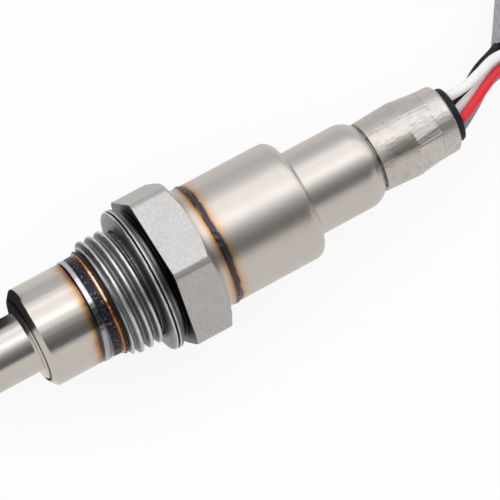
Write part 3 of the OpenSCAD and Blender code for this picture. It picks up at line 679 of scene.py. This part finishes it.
class SleevingMaker(bpy.types.Operator):
    """Makes the braided sleeving with its open ends, from the leads into the coil"""

    bl_idname = "sensor.sleeving"
    bl_label = "Sleeving"

    def execute(self, context):
        sizes, hue = context.scene.sensor_sizes, context.scene.sensor_colours
        line = sleeving_line()
        outer, inner = sizes.sleeving_d / 2 / MM, (sizes.sleeving_d / 2 - sizes.sleeving_wall) / MM
        rings, along = self.rings(line, outer, inner)
        steps, last = RING_POINTS, len(rings) - 1
        verts, uvs, faces = [], [], []
        for centre, side, up, radius, ragged in rings:
            for k in range(steps):
                a = 2 * math.pi * k / steps
                r = radius + ragged * math.sin(9 * a) * math.sin(4 * a + 1)
                verts.append(tuple(centre + r * (math.cos(a) * side + math.sin(a) * up)))
        for i in range(last):
            for k in range(steps):
                n = (k + 1) % steps
                faces.append((i * steps + k, (i + 1) * steps + k, (i + 1) * steps + n, i * steps + n))
                u0, u1 = k / steps, (k + 1) / steps
                uvs += [(u0, along[i]), (u0, along[i + 1]), (u1, along[i + 1]), (u1, along[i])]
        for i, turn in ((0, 1), (last, -1)):
            faces.append(tuple(i * steps + k for k in range(steps))[::turn])
            uvs += [(0.5, along[i])] * steps
        braid = weave_finish("sleeving_braid", hue.sleeving, strands=16, crossing=2.6)
        piece = make_mesh("harness_sleeving", verts, faces, braid, ["sleeving_lead", "sleeving_coil"],
                          crease=60, uvs=uvs)
        [[c * MM for c in p] for p in line]
        return {"FINISHED"}

    def rings(self, line, outer, inner):
        """Rings of the tube's skin: from deep in its mouth, out over the lip, along it, and into its end."""
        last, middle, rim = len(line) - 1, (inner + outer) / 2, outer - 0.06
        frames = []
        for i, p in enumerate(line):
            ahead = (line[min(i + 1, last)] - line[max(i - 1, 0)]).normalized()
            side = Vector((0, 0, 1)).cross(ahead).normalized()
            frames.append((p, side, ahead.cross(side), ahead))
        places = [0.0]
        for p, q in zip(line, line[1:]):
            places.append(places[-1] + (q - p).length)
        mouth = [(i, inner, 0.04 if i == 0 else 0, 0) for i in (9, 6, 3, 1, 0)]
        mouth += [(0, middle, 0.06, -0.12), (0, rim, 0.05, 0.02)]
        end = [(last, rim, 0.05, -0.02), (last, middle, 0.06, 0.12)]
        end += [(last - i, inner, 0.04 if i == 0 else 0, 0) for i in (0, 1, 3, 5)]
        rings, along = [], []
        for i, radius, ragged, shift in mouth + [(i, outer, 0, 0) for i in range(1, last)] + end:
            p, side, up, ahead = frames[i]
            rings.append((p + ahead * shift, side, up, radius, ragged))
            along.append(places[i] + shift)
        return rings, along


def weld_tints():
    """Gold, brown, the weld's oxide and no tint, as the shares of the plain steel's colour that they leave."""
    hue = bpy.context.scene.sensor_colours
    tints = [tuple(min(1.0, c / s) for c, s in zip(tint, hue.steel))
             for tint in (hue.tint_gold, hue.tint_brown, hue.weld)]
    return tints + [(1, 1, 1)]


def sheet_steel(name, rough, tint=None, lean=False, crimp=False, gap=None):
    """Satin sheet steel with faint lines round it and smudges.

    tint gives stops of heat tint along the axis. With lean they lean as the front weld does, and the mouth
    of the rolled rim gets painted shade. crimp adds the jaws' marks and a painted dark reflection. Beyond the
    radius gap lies a gap darkened with painted shade."""
    steel = tuple(bpy.context.scene.sensor_colours.steel)
    f = new_finish(name)
    place = f.place()
    x, y, z = f.parts(place)
    cloud = f.noise(place, 0.35, 4)
    lines = f.noise(f.vector(x * 9, y * 0.25, z * 0.25), 1.0, 2)
    colour = f.mix(cloud.between(0.35, 0.75) * 0.3, steel, mixed(steel, (0.5, 0.46, 0.42), 0.5))
    if tint:
        along = x + from_top(y, z).within(15, 85, 130, 180) * 0.8 if lean else x
        wander = along + (f.noise(place, 0.42, 3) - 0.5) * 0.9
        colour = f.mix(1.0, colour, f.ramp(wander, tint), "MULTIPLY")
    speck = f.noise(place, 3.2, 2).between(0.7, 0.78) * 0.3
    colour = f.mix(speck, colour, (0.3, 0.28, 0.26))
    # Painted shade: beyond the given radius the colour turns near black.
    if gap:
        colour = f.mix(from_axis(y, z).between(gap, gap + 0.05), colour, (0.02, 0.018, 0.016))
    # Painted shade: the mouth of the rolled rim is darkened.
    if lean:
        mouth = (1 - from_axis(y, z).between(6.5, 6.72)) * (1 - x.between(-18.4, -18.2))
        colour = f.mix(mouth * 0.92, colour, (0.03, 0.022, 0.018))
    roughness = rough + cloud * 0.08 + lines * 0.04 + speck * 0.3
    height = lines * 0.25 + f.noise(place, 9, 3) * 0.25 + cloud * 0.6
    if crimp:
        colour, roughness, height = crimp_marks(f, place, colour, roughness, height)
    return f.surface(height, 0.003, base_color=colour, metallic=1.0, roughness=roughness)


def crimp_marks(f, place, colour, roughness, height):
    """The jaws' marks over sheet steel: smudges, dings, the dark neck groove, a painted dark reflection and a
    paler rear band.
    """
    x, y, z = f.parts(place)
    pressed = x.between(CRIMP_FRONT - 1.2, CRIMP_FRONT)
    smudge = f.noise(place, 0.8, 4).between(0.42, 0.7)
    dings = f.noise(place, 1.7, 3).between(0.66, 0.74) * pressed * 0.7
    groove = x.within(NECK_X - 0.12, NECK_X + 0.1, NECK_X + 0.32, NECK_X + 0.5)
    # Painted reflection: a dark band across the front jawed stretch, at the angles where the dark panel shows
    # in round steel.
    painted_dark_reflection = x.within(CRIMP_FRONT + 0.45, CRIMP_FRONT + 2.75, CRIMP_STEP - 0.25, CRIMP_STEP - 0.05)
    painted_dark_reflection = painted_dark_reflection * from_top(y, z).within(14, 24, 36, 46) * (0.35 + f.noise(place, 1.1, 3) * 0.9)
    colour = f.coats(colour, (pressed * smudge * 0.3, (0.4, 0.37, 0.35)),
                     (dings.high(groove * (0.45 + smudge * 0.5)), (0.13, 0.11, 0.1)),
                     ((painted_dark_reflection * 0.6).low(1.0), (0.16, 0.145, 0.135)),
                     (x.between(CRIMP_STEP - 0.1, CRIMP_STEP + 0.1) * 0.12, (0.8, 0.78, 0.76)))
    return (colour, roughness + pressed * (0.04 + smudge * 0.1),
            height + pressed * f.noise(place, 0.9, 3) * 0.7)


class TubeMaker(bpy.types.Operator):
    """Makes the wide front tube with its rolled rim, and gives the narrow gas tubes their satin steel"""

    bl_idname = "sensor.tubes"
    bl_label = "Gas tubes"

    def execute(self, context):
        gold, brown, weld, plain = weld_tints()
        tint = [(-19.0, plain), (-12.4, plain), (-11.75, mixed(plain, gold, 0.15)),
                (-11.3, mixed(plain, gold, 0.7)), (-11.0, mixed(gold, brown, 0.35)), (-10.75, brown),
                (-10.5, mixed(brown, weld, 0.5)), (-10.35, weld)]
        inside_r, rim_depth = 7.0, 0.7
        line = rounded([
            (BASE_REAR, inside_r, 0), (BASE_REAR, WIDE_R, 0.1), (BASE_FRONT + 0.95, WIDE_R, 0.5),
            (BASE_FRONT, 6.36, 0.07), (BASE_FRONT + 0.3, 6.28, 0.1), (BASE_FRONT + rim_depth, 6.28, 0),
            (BASE_FRONT + rim_depth, inside_r, 0)])
        line = finer(line, lambda x, r: 0.5 if r > inside_r else 2.0)

        def shape(xs, rs, angles):
            return xs, rs * (1 + 0.0006 * ripple(0.1 * xs, angles, 3, 4))

        turned("wide_tube", line, 240, shape, sheet_steel("tube_satin", 0.13, tint, lean=True), ["base_tube"],
               crease=50)
        # The tip tube gets painted shade beyond radius 5.98, where it runs into the rim.
        coat(sheet_steel("tip_satin", 0.14, gap=5.98), "tip_tube")
        coat(sheet_steel("inner_satin", 0.3), "inner_tube")
        return {"FINISHED"}


class HousingMaker(bpy.types.Operator):
    """Makes the housing with its weld ring, cut thread, hex and collar, and the gasket on its neck"""

    bl_idname = "sensor.housing"
    bl_label = "Housing"

    def execute(self, context):
        sizes, hue = context.scene.sensor_sizes, context.scene.sensor_colours
        self.front(sizes, hue)
        self.hex_part(sizes, hue)
        self.gasket()
        return {"FINISHED"}

    def front(self, sizes, hue):
        """Everything in front of the seat."""
        nose = [(-17.45, 4.9, 0), (-17.45, 6.67, 0.2), (-10.22, 6.97, 0)]
        bead = [(-10.22, 7.4, 0), (-10.2, 7.5, 0.04), (-10.1, 7.68, 0.14), (-9.42, 7.68, 0.3),
                (-9.26, 7.52, 0.06)]
        seam = [(-9.14, 7.62, 0.12), (-8.16, 7.64, 0.14), (-8.06, 7.54, 0.04)]
        copper_edge = [(-7.94, 7.78, 0.08), (-7.62, 7.86, 0.1), (-7.5, 7.7, 0.06)]
        neck_r = THREAD_R - 1
        thread = [(THREAD_FRONT, THREAD_R, 0.03), (THREAD_REAR, THREAD_R, 0.1),
                  (THREAD_REAR + 0.42, neck_r, 0.2), (0, neck_r, 0)]
        bore = [(0, BORE_R, 0), (-7, BORE_R, 0), (-7, 3.2, 0), (-8.6, 3.2, 0), (-10.3, 4.9, 0)]
        line = rounded(nose + bead + seam + copper_edge + thread + bore)
        line = finer(line, lambda x, r: 3.0 if r <= 7 else
                     0.075 if THREAD_FRONT - 0.4 < x < THREAD_REAR + 0.5 else 0.1)
        pitch, depth = sizes.thread_pitch / MM, sizes.thread_depth / MM
        half_crest, half_root = 0.12, 0.14

        def shape(xs, rs, angles):
            turn = (xs - CREST_X) / pitch - (angles - math.radians(CREST_ANGLE)) / (2 * math.pi)
            away = np.abs((turn + 0.5) % 1 - 0.5) * pitch
            flank = np.clip((away - half_crest) / (pitch / 2 - half_crest - half_root), 0, 1)
            crest = THREAD_R - depth * (flank - 0.06 * np.sin(2 * math.pi * flank))
            run_in = RING_R + (xs + 7.15) * 1.55
            cut_r = soft_low(rs, soft_low(crest, run_in, 0.1), 0.06)
            cut = (xs > -7.47) & (xs < THREAD_REAR + 0.3) & (rs > RING_R + 0.05)
            rs = np.where(cut, np.maximum(cut_r, np.minimum(rs, RING_R)), rs)
            rs = uneven(xs, rs, angles, (
                (-10.21, -9.26, SKIN_R, 0.012, 4, 9, 1, 1),
                (-9.2, -8.12, SKIN_R, 0.03, 8, 14, 3, 2),
                (-8.05, -7.5, 7.5, 0.025, 6, 7, 1, 1),
            ))
            leaning = np.clip((-9.1 - xs) / 0.4, 0, 1) * (rs > SKIN_R)
            return xs - self.lean(np.degrees(angles) - 90) * leaning, rs

        turned("threaded_front", line, 480, shape, self.thread_finish(hue), ["housing"],
               crease=40)

    def lean(self, angle):
        """How far the front weld leans towards the tip at an angle from the top towards -Y."""
        share = np.clip((angle - 25) / 70, 0, 1) * np.clip((200 - angle) / 70, 0, 1)
        return WELD_LEAN * share * share * (3 - 2 * share)

    def thread_finish(self, hue):
        """Dark thread with paler crests, partly worn and partly painted highlight, darker roots, a bright weld
        bead with painted reflection and shade, a blue-black seam with painted glints, and a line of copper tint
        with painted highlight and shade.
        """
        f = new_finish("thread_dark")
        place = f.place()
        x, y, z = f.parts(place)
        radius, angle = from_axis(y, z), from_top(y, z)
        cloud = f.noise(place, 0.8, 4)
        fine = f.noise(f.vector(x * 6, y, z), 2.2, 3)
        leant = x + angle.within(25, 95, 130, 180) * WELD_LEAN * (1 - x.between(-9.5, -9.1))
        along = f.ramp(leant + (cloud - 0.5) * 0.12, [
            (-10.7, (0.03, 0.032, 0.045)), (-10.2, (0.09, 0.085, 0.09)), (-10.1, (0.5, 0.5, 0.52)),
            (-9.7, (0.74, 0.74, 0.75)), (-9.42, (0.36, 0.37, 0.42)), (-9.26, (0.03, 0.032, 0.042)),
            (-8.18, (0.03, 0.03, 0.036)), (-8.06, (0.28, 0.1, 0.035)), (-7.9, (0.66, 0.3, 0.11)),
            (-7.66, (0.42, 0.17, 0.06)), (-7.5, (0.05, 0.035, 0.03)), (-7.15, (0.05, 0.045, 0.04)),
            (-7.0, tuple(hue.thread_steel))])
        bead = x.within(-10.9, -10.2, -9.4, -9.25)
        seam = x.within(-9.3, -9.1, -8.2, -8.1)
        copper = x.within(-8.04, -7.92, -7.66, -7.56)
        # Painted highlight: a pale line at the thread's start, where its first cut crest shines.
        first_crest_highlight = x.within(-7.0, -6.86, -6.66, -6.5)
        # Painted glints: pale blue-grey specks in the seam.
        seam_glints = f.noise(place, 2.6, 3).between(0.56, 0.7) * (x > -9.2) * (x < -8.15)
        # Paler crests: partly wear, partly painted highlight; the line at the thread's start is painted
        # highlight only.
        worn = radius.between(8.68, 8.99).high(first_crest_highlight) * x.between(-7.0, -6.8)
        worn = (worn * (0.35 + cloud * 0.9)).low(1.0)
        root = (1 - radius.between(8.05, 8.4)) * x.between(-7.2, -7.0)
        scuff = f.noise(f.vector(x * 0.7, y * 3, z * 3), 0.9, 2).between(0.62, 0.72) * x.between(-2.6, -2.3)
        colour = f.coats(
            along,
            # Painted highlight and shade on the copper line: paler at the angles of its highlight, darker below
            # and on the far side.
            (copper * angle.within(-22, -8, 14, 28) * 0.75, (0.9, 0.68, 0.46)),
            (copper * angle.between(30, 60) * 0.55 * (0.4 + cloud), (0.12, 0.06, 0.035)),
            (copper * (1 - angle.between(-46, -20)) * 0.7, (0.16, 0.1, 0.07)),
            # Painted reflection and shade on the bead: a dark band below its highlight, and darker on the far
            # side.
            (bead * angle.between(12, 24) * 0.6, (0.22, 0.22, 0.23)),
            (bead * angle.within(14, 26, 40, 58) * 0.8, (0.05, 0.05, 0.055)),
            (bead * (1 - angle.between(-48, -22)) * 0.5, (0.2, 0.2, 0.21)),
            (seam_glints * 0.45, (0.3, 0.34, 0.4)),
            (worn, (0.72, 0.71, 0.7)),
            (root * 0.5, (0.09, 0.09, 0.095)),
            (scuff * 0.8, grey(0.6)))
        rough = 0.1 + seam * 0.16 + x.between(-7.7, -7.3) * 0.24 + cloud * 0.16 + fine * 0.08 - worn * 0.16
        return f.surface(fine * 0.6 + cloud * 0.5, 0.012, base_color=colour, metallic=1.0, roughness=rough)

    def hex_part(self, sizes, hue):
        """The hex, its collar and the spigot inside the sleeve."""
        cut_r, rear_r, spigot_r, end_r = 12.4, 11.22, 8.52, 6.48
        slope = math.tan(math.radians(30))
        shoulder = [(0, 7.6, 0), (0, 10.45, 0.22), (0.7, 10.2, 0.25), (1.15, 9.7, 0.1)]
        faces = [(HEX_FACE, cut_r, 0.07), (HEX_REAR - (cut_r - rear_r) * slope, cut_r, 0.1),
                 (HEX_REAR, rear_r, 0.12)]
        collar = [(HEX_REAR, COLLAR_R, 0.25), (COLLAR_REAR, COLLAR_R, 0.03), (COLLAR_REAR, spigot_r, 0)]
        spigot = [(12, spigot_r, 0), (12, end_r, 0), (12.6, end_r, 0.2), (12.6, 4.28, 0), (11.8, 4.28, 0),
                  (11.8, BORE_R, 0), (0, BORE_R, 0)]
        line = finer(rounded(shoulder + faces + collar + spigot),
                     lambda x, r: 3.0 if r <= 9 else 0.4 if r <= 9.4 else 0.12 if x < 1.6 else 0.18)
        edge = sizes.hex_edge / MM

        def shape(xs, rs, angles):
            from_flat = (angles - math.pi / 2 + math.pi / 6) % (math.pi / 3) - math.pi / 6
            flats = HEX_FLAT_R / np.cos(from_flat)
            hexed = (rs > 9.5) & (xs > 1.1) & (xs < HEX_REAR + 0.01)
            return xs, np.where(hexed, soft_low(rs, flats, edge), rs)

        turned("hex_and_collar", line, 720, shape, self.hex_finish(hue), ["housing"],
               crease=30)

    def hex_finish(self, hue):
        """Matte grained hex; a turned shoulder in front of it, dark with painted shade and a painted soft
        highlight; straw tint on the collar, with painted shade in the corner by the hex.
        """
        pale, gold, brown = tuple(hue.hex_steel), tuple(hue.tint_gold), tuple(hue.tint_brown)
        f = new_finish("hex_matte")
        place = f.place()
        x, y, z = f.parts(place)
        grain = f.noise(place, 3.4, 4, 0.75)
        cloud = f.noise(place, 0.5, 3)
        scratch = f.noise(f.vector(x * 0.6, y * 6, z * 6), 1.0, 2)
        # Heat tint on the collar; its first stops, dark at the hex's rear face, are painted shade in the
        # corner.
        tint_and_corner_shade = f.ramp(x + (cloud - 0.5) * 0.3, [
            (7.5, (0.05, 0.045, 0.04)), (7.78, (0.14, 0.12, 0.1)), (8.1, mixed((0.46, 0.44, 0.4), gold, 0.25)),
            (8.7, mixed((0.6, 0.58, 0.54), gold, 0.3)), (9.2, mixed(gold, brown, 0.25)), (9.45, brown),
            (9.7, tuple(hue.weld))])
        # Painted shade and highlight on the shoulder and the hex's front face: dark at the seat, a pale soft
        # band near 0.35 mm as painted highlight, then near black towards the face.
        shoulder_black_shade = (0.021, 0.0205, 0.021)
        oiled = f.ramp(x, [(-0.1, grey(0.04)), (0.1, grey(0.1)), (0.35, (0.3, 0.29, 0.285)),
                           (0.62, (0.2, 0.195, 0.19)), (0.85, shoulder_black_shade), (1.5, shoulder_black_shade)])
        collar = x.between(7.56, 7.62) * (1 - from_axis(y, z).between(11.0, 11.4))
        shoulder = 1 - x.between(HEX_FACE - 0.06, HEX_FACE + 0.02)
        colour = f.coats(pale, (grain.between(0.38, 0.68) * 0.5, mixed(pale, (0.25, 0.24, 0.24), 0.65)),
                         (cloud.between(0.4, 0.8) * 0.25, (0.42, 0.4, 0.38)),
                         (collar, tint_and_corner_shade), (shoulder, oiled))
        return f.surface(grain + scratch * 0.35, 0.022, base_color=colour, metallic=1.0,
                         roughness=0.4 + grain * 0.12 - shoulder * 0.12 - collar * 0.14)

    def gasket(self):
        """The folded ring, a little uneven round its rims."""
        rear = [(0, 8.15, 0), (0, 10.88, 0.1), (-0.5, 10.98, 0.14), (-0.62, 10.8, 0.05)]
        groove = [(-0.66, 10.0, 0.02), (-0.74, 10.0, 0.02)]
        front = [(-0.78, 10.78, 0.05), (-0.95, 10.94, 0.09), (-1.2, 10.7, 0.12), (-1.6, 8.9, 0.2),
                 (-1.6, 8.3, 0.1), (-1.3, 8.15, 0.1)]
        line = finer(rounded(rear + groove + front), lambda x, r: 0.15 if r > 9 else 0.6)

        def shape(xs, rs, angles):
            edge = np.clip((rs - 9.5) / 1.2, 0, 1)
            return xs + 0.018 * edge * ripple(0 * xs, angles, 31, 5) * (xs < -0.3), rs

        turned("folded_gasket", line, 300, shape, self.gasket_finish(), ["gasket"], crease=32)

    def gasket_finish(self):
        """Folded sheet ring, dull and kept dark as painted shade, with painted highlights on its rims and
        painted shade between them and at the seat.
        """
        f = new_finish("gasket_dull")
        place = f.place()
        x, y, z = f.parts(place)
        radius = from_axis(y, z)
        cloud = f.noise(place, 0.9, 4)
        rings = f.noise(f.vector(radius * 7, x * 2, 0.0), 1.0, 2)
        # Painted light along the gasket: bright stops are painted highlights on the rims, dark stops painted
        # shade between them and towards the seat.
        rim_highlights_and_shade = f.ramp(x, [
            (-1.7, (0.26, 0.26, 0.27)), (-1.18, (0.3, 0.3, 0.31)), (-1.02, grey(0.78)), (-0.9, grey(0.4)),
            (-0.78, grey(0.2)), (-0.6, grey(0.24)), (-0.48, grey(0.78)), (-0.34, grey(0.2)), (0.0, grey(0.04))])
        # The gasket's dark base colour is painted shade.
        colour = f.coats((0.2, 0.2, 0.21), (radius.between(9.8, 10.7), rim_highlights_and_shade),
                         (cloud.between(0.4, 0.8) * 0.4, grey(0.16)))
        return f.surface(rings + cloud, 0.01, base_color=colour, metallic=1.0, roughness=0.24 + cloud * 0.2)


class SleeveMaker(bpy.types.Operator):
    """Makes the rear sleeve with its weld bead, shoulders, drawn-in neck and crimp, and coats the grommet"""

    bl_idname = "sensor.rear_sleeve"
    bl_label = "Rear sleeve"

    def execute(self, context):
        sizes, hue = context.scene.sensor_sizes, context.scene.sensor_colours
        gold, brown, weld, plain = weld_tints()
        tint = [(9.4, mixed(gold, brown, 0.4)), (9.54, brown), (9.68, weld), (10.42, weld),
                (10.56, mixed(brown, weld, 0.25)), (10.7, mixed(gold, brown, 0.6)), (10.95, gold),
                (11.35, mixed(plain, gold, 0.45)), (12.1, plain), (14.0, plain)]

        def shape(xs, rs, angles):
            return self.crimped(xs, rs, angles, sizes)

        turned("rear_sleeve_skin", self.outline(), 480, shape,
               sheet_steel("sleeve_satin", 0.26, tint, crimp=True), ["rear_sleeve"], crease=38)
        coat(self.rubber(hue.rubber), "grommet")
        return {"FINISHED"}

    def outline(self):
        """Outside and inside of the sleeve, before the jaws."""
        weld = [(COLLAR_REAR, 8.62, 0), (COLLAR_REAR, COLLAR_R, 0.04), (9.72, 9.29, 0.08), (10.08, 9.29, 0.1)]
        tubes = [(10.28, SLEEVE_R, 0.12), (SHOULDER_REAR, SLEEVE_R, 1.6), (SHOULDER_REAR, NARROW_R, 0.3),
                 (ROUNDING_FRONT, NARROW_R, 0)]
        line = rounded(weld + tubes, closed=False)
        drop, run, cuts = 1.2, NECK_X - ROUNDING_FRONT, 14
        big = (run * run + drop * drop) / 2 / drop
        for k in range(1, cuts + 1):
            a = math.asin(run / big) * k / cuts
            line.append((ROUNDING_FRONT + big * math.sin(a), NARROW_R - big * (1 - math.cos(a))))
        neck = [(NECK_X, 5.3, 0), (NECK_X + 0.08, 5.06, 0.05), (NECK_X + 0.22, 5.1, 0.06)]
        jawed = [(CRIMP_FRONT + 0.12, 5.38, 0.12), (CRIMP_FRONT + 0.7, 5.56, 0.3), (CRIMP_STEP, 5.8, 0.25)]
        rim = [(CRIMP_REAR, 5.26, 0.12), (CRIMP_REAR + 0.3, 5.2, 0.15), (SLEEVE_REAR - 0.38, 5.14, 0.5),
               (SLEEVE_REAR, 4.66, 0.1), (SLEEVE_REAR - 0.1, 4.5, 0.06), (CRIMP_REAR, 4.5, 0)]
        line += rounded(neck + jawed + rim, closed=False)
        inner_r, shoulder = NARROW_R - 0.5, SHOULDER_REAR - SLEEVE_WALL
        line += [(CRIMP_STEP, 4.88), (CRIMP_FRONT + 0.2, 4.88), (NECK_X + 0.1, 4.55),
                 (ROUNDING_FRONT + 1, 5.85), (ROUNDING_FRONT, inner_r), (shoulder, inner_r), (shoulder, 7.5),
                 (shoulder - 1, SLEEVE_R - SLEEVE_WALL)]
        return finer(line, lambda x, r: 0.13 if x > NECK_X and r > 4.95 else 0.5 if r > 6.2 or x > 33 else 2.5)

    def crimped(self, xs, rs, angles, sizes):
        """Presses the flats of the jaws and the marks beside them into the rear stretch."""
        turn = math.pi / sizes.jaws
        first = math.pi / 2 + sizes.jaw_turn
        from_flat = (angles - first + turn) % (2 * turn) - turn
        band_1 = (xs > CRIMP_FRONT - 0.1) & (xs < CRIMP_STEP) & (rs > 5)
        band_2 = (xs >= CRIMP_STEP) & (xs < CRIMP_REAR) & (rs > 5)
        share_1 = np.clip((xs - CRIMP_FRONT) / (CRIMP_STEP - CRIMP_FRONT), 0, 1)
        share_2 = np.clip((xs - CRIMP_STEP) / (CRIMP_REAR - CRIMP_STEP), 0, 1)
        # Radius of the flats: it grows along the first cone and shrinks along the second
        flat = np.where(band_1, 5.38 + 0.34 * share_1, 5.6 - 0.43 * share_2)
        faced = flat * (1 + np.where(band_1, 0.14, 0.8) * (1 / np.cos(from_flat) - 1))
        to_ridge = (turn - np.abs(from_flat)) * rs

        def bump(far, wide, high):
            return np.exp(-((far / wide) ** 2)) * high

        edges = bump(to_ridge - 0.36, 0.09, 0.024) - bump(to_ridge, 0.24, 0.014)
        rs = np.where(band_1 | band_2, soft_low(rs, faced, 0.05) - edges * (0.3 + 0.7 * band_2), rs)
        corner = bump(xs - CRIMP_REAR - 0.05, 0.16, 1) * bump(to_ridge - 0.3, 0.2, 0.07)
        rs = rs - np.where((xs > CRIMP_REAR - 0.6) & (rs > JAWED_R), corner, 0)
        rs = rs - np.where(rs > 5, bump(xs - CRIMP_STEP, 0.1, 0.035), 0)
        return xs, uneven(xs, rs, angles, (
            (NECK_X - 0.15, NECK_X + 0.45, JAWED_R, 0.02, 11, 3, 0, 1),
            (COLLAR_REAR + 0.05, 10.3, 9, 0.02, 2, 9, 1, 1),
            (CRIMP_FRONT, SLEEVE_REAR - 0.3, JAWED_R, 0.004, 21, 5, 1, 1),
        ))

    def rubber(self, black):
        """Moulded rubber with a little dust."""
        f = new_finish("grommet_rubber")
        place = f.place()
        dust = f.noise(place, 1.6, 4)
        colour = f.mix(dust.between(0.5, 0.8) * 0.3, tuple(black), (0.03, 0.03, 0.031))
        return f.surface(f.noise(place, 7, 3), 0.012, base_color=colour, roughness=0.42 + dust * 0.2,
                         specular_ior_level=0.2)


class InsideFinisher(bpy.types.Operator):
    """Gives the ceramics, packing, springs, contacts and element inside the sensor their finishes"""

    bl_idname = "sensor.inside"
    bl_label = "Inner pieces"

    def execute(self, context):
        for name, colour, other, scale, rough, metal, nodes in (
            ("fired_ceramic", (0.8, 0.78, 0.72), (0.66, 0.62, 0.55), 3, 0.5, 0,
             ["lower_bushing", "upper_bushing", "front_holder", "rear_holder"]),
            ("element_ceramic", (0.76, 0.74, 0.68), grey(0.5), 1.5, 0.4, 0, ["sensing_element"]),
            ("pressed_powder", (0.62, 0.61, 0.57), (0.45, 0.44, 0.4), 9, 0.85, 0, ["powder_packing"]),
            ("bright_spring", (0.6, 0.59, 0.57), (0.45, 0.44, 0.42), 2, 0.24, 1,
             ["lock_ring", "holder_spring"]),
            ("plated_contact", (0.66, 0.52, 0.28), (0.5, 0.38, 0.2), 2, 0.28, 1,
             [f"contact_{i}" for i in range(1, 6)]),
        ):
            coat(self.grained(name, colour, other, scale, rough, metal), *nodes)
        return {"FINISHED"}

    def grained(self, name, colour, other, scale, rough, metal):
        """A mottled finish with grain three times as fine as its lumps."""
        f = new_finish(name)
        place = f.place()
        lumps = f.noise(place, scale, 4)
        shade = f.mix(lumps.between(0.35, 0.75) * 0.5, colour, other)
        return f.surface(f.noise(place, scale * 3, 3), 0.01, base_color=shade, metallic=float(metal),
                         roughness=rough + lumps * 0.12)


class PlugFinisher(bpy.types.Operator):
    """Gives the plug its moulded plastic, silicone seals and tinned pins"""

    bl_idname = "sensor.plug"
    bl_label = "Plug"

    def execute(self, context):
        hue = context.scene.sensor_colours
        coat(self.moulded("moulded_black", tuple(hue.plug), 0.46), "plug_housing", "rear_cap")
        coat(self.moulded("moulded_violet", tuple(hue.lock), 0.4), "pin_lock")
        coat(self.moulded("silicone_orange", tuple(hue.seal), 0.5), "mouth_seal", "wire_seal")
        coat(self.tinned(), *(f"plug_pin_{i}" for i in range(1, 6)))
        return {"FINISHED"}

    def moulded(self, name, colour, rough):
        """Fine spark-eroded texture with rubbed places."""
        f = new_finish(name)
        place = f.place()
        grain = f.noise(place, 7, 3, 0.65)
        rubbed = f.noise(place, 0.25, 4)
        shade = f.mix(rubbed.between(0.45, 0.8) * 0.35, colour, mixed(colour, grey(0.12), 0.4))
        return f.surface(grain, 0.03, base_color=shade, roughness=rough + rubbed * 0.12 + grain * 0.06)

    def tinned(self):
        """Tin plating with darker handling marks."""
        f = new_finish("tinned_pin")
        marks = f.noise(f.place(), 2.5, 4)
        colour = f.mix(marks.between(0.4, 0.8) * 0.5, (0.66, 0.64, 0.58), (0.5, 0.44, 0.3))
        return f.surface(marks, 0.006, base_color=colour, metallic=1.0, roughness=0.22 + marks * 0.2)


MAKERS = (StageMaker, LeadMaker, SleevingMaker, TubeMaker, HousingMaker, SleeveMaker, InsideFinisher,
          PlugFinisher)


class SensorPanel(bpy.types.Panel):
    """Lists the sensor's makers, sizes and colours"""

    bl_idname = "VIEW3D_PT_sensor"
    bl_label = "Oxygen sensor"
    bl_space_type = "VIEW_3D"
    bl_region_type = "UI"
    bl_category = "Sensor"

    def draw(self, context):
        for maker in MAKERS:
            self.layout.operator(maker.bl_idname)
        for group in (context.scene.sensor_sizes, context.scene.sensor_colours):
            box = self.layout.box()
            for key in group.__annotations__:
                box.prop(group, key)


CLASSES = (SensorSizes, SensorColours, *MAKERS, SensorPanel)


def register():
    for cls in CLASSES:
        bpy.utils.register_class(cls)
    bpy.types.Scene.sensor_sizes = PointerProperty(type=SensorSizes)
    bpy.types.Scene.sensor_colours = PointerProperty(type=SensorColours)


def unregister():
    del bpy.types.Scene.sensor_colours
    del bpy.types.Scene.sensor_sizes
    for cls in reversed(CLASSES):
        bpy.utils.unregister_class(cls)


def main():
    """Makes the whole sensor."""
    register()
    for maker in MAKERS:
        group, name = maker.bl_idname.split(".")
        getattr(getattr(bpy.ops, group), name)()


if __name__ == "__main__":
    main()
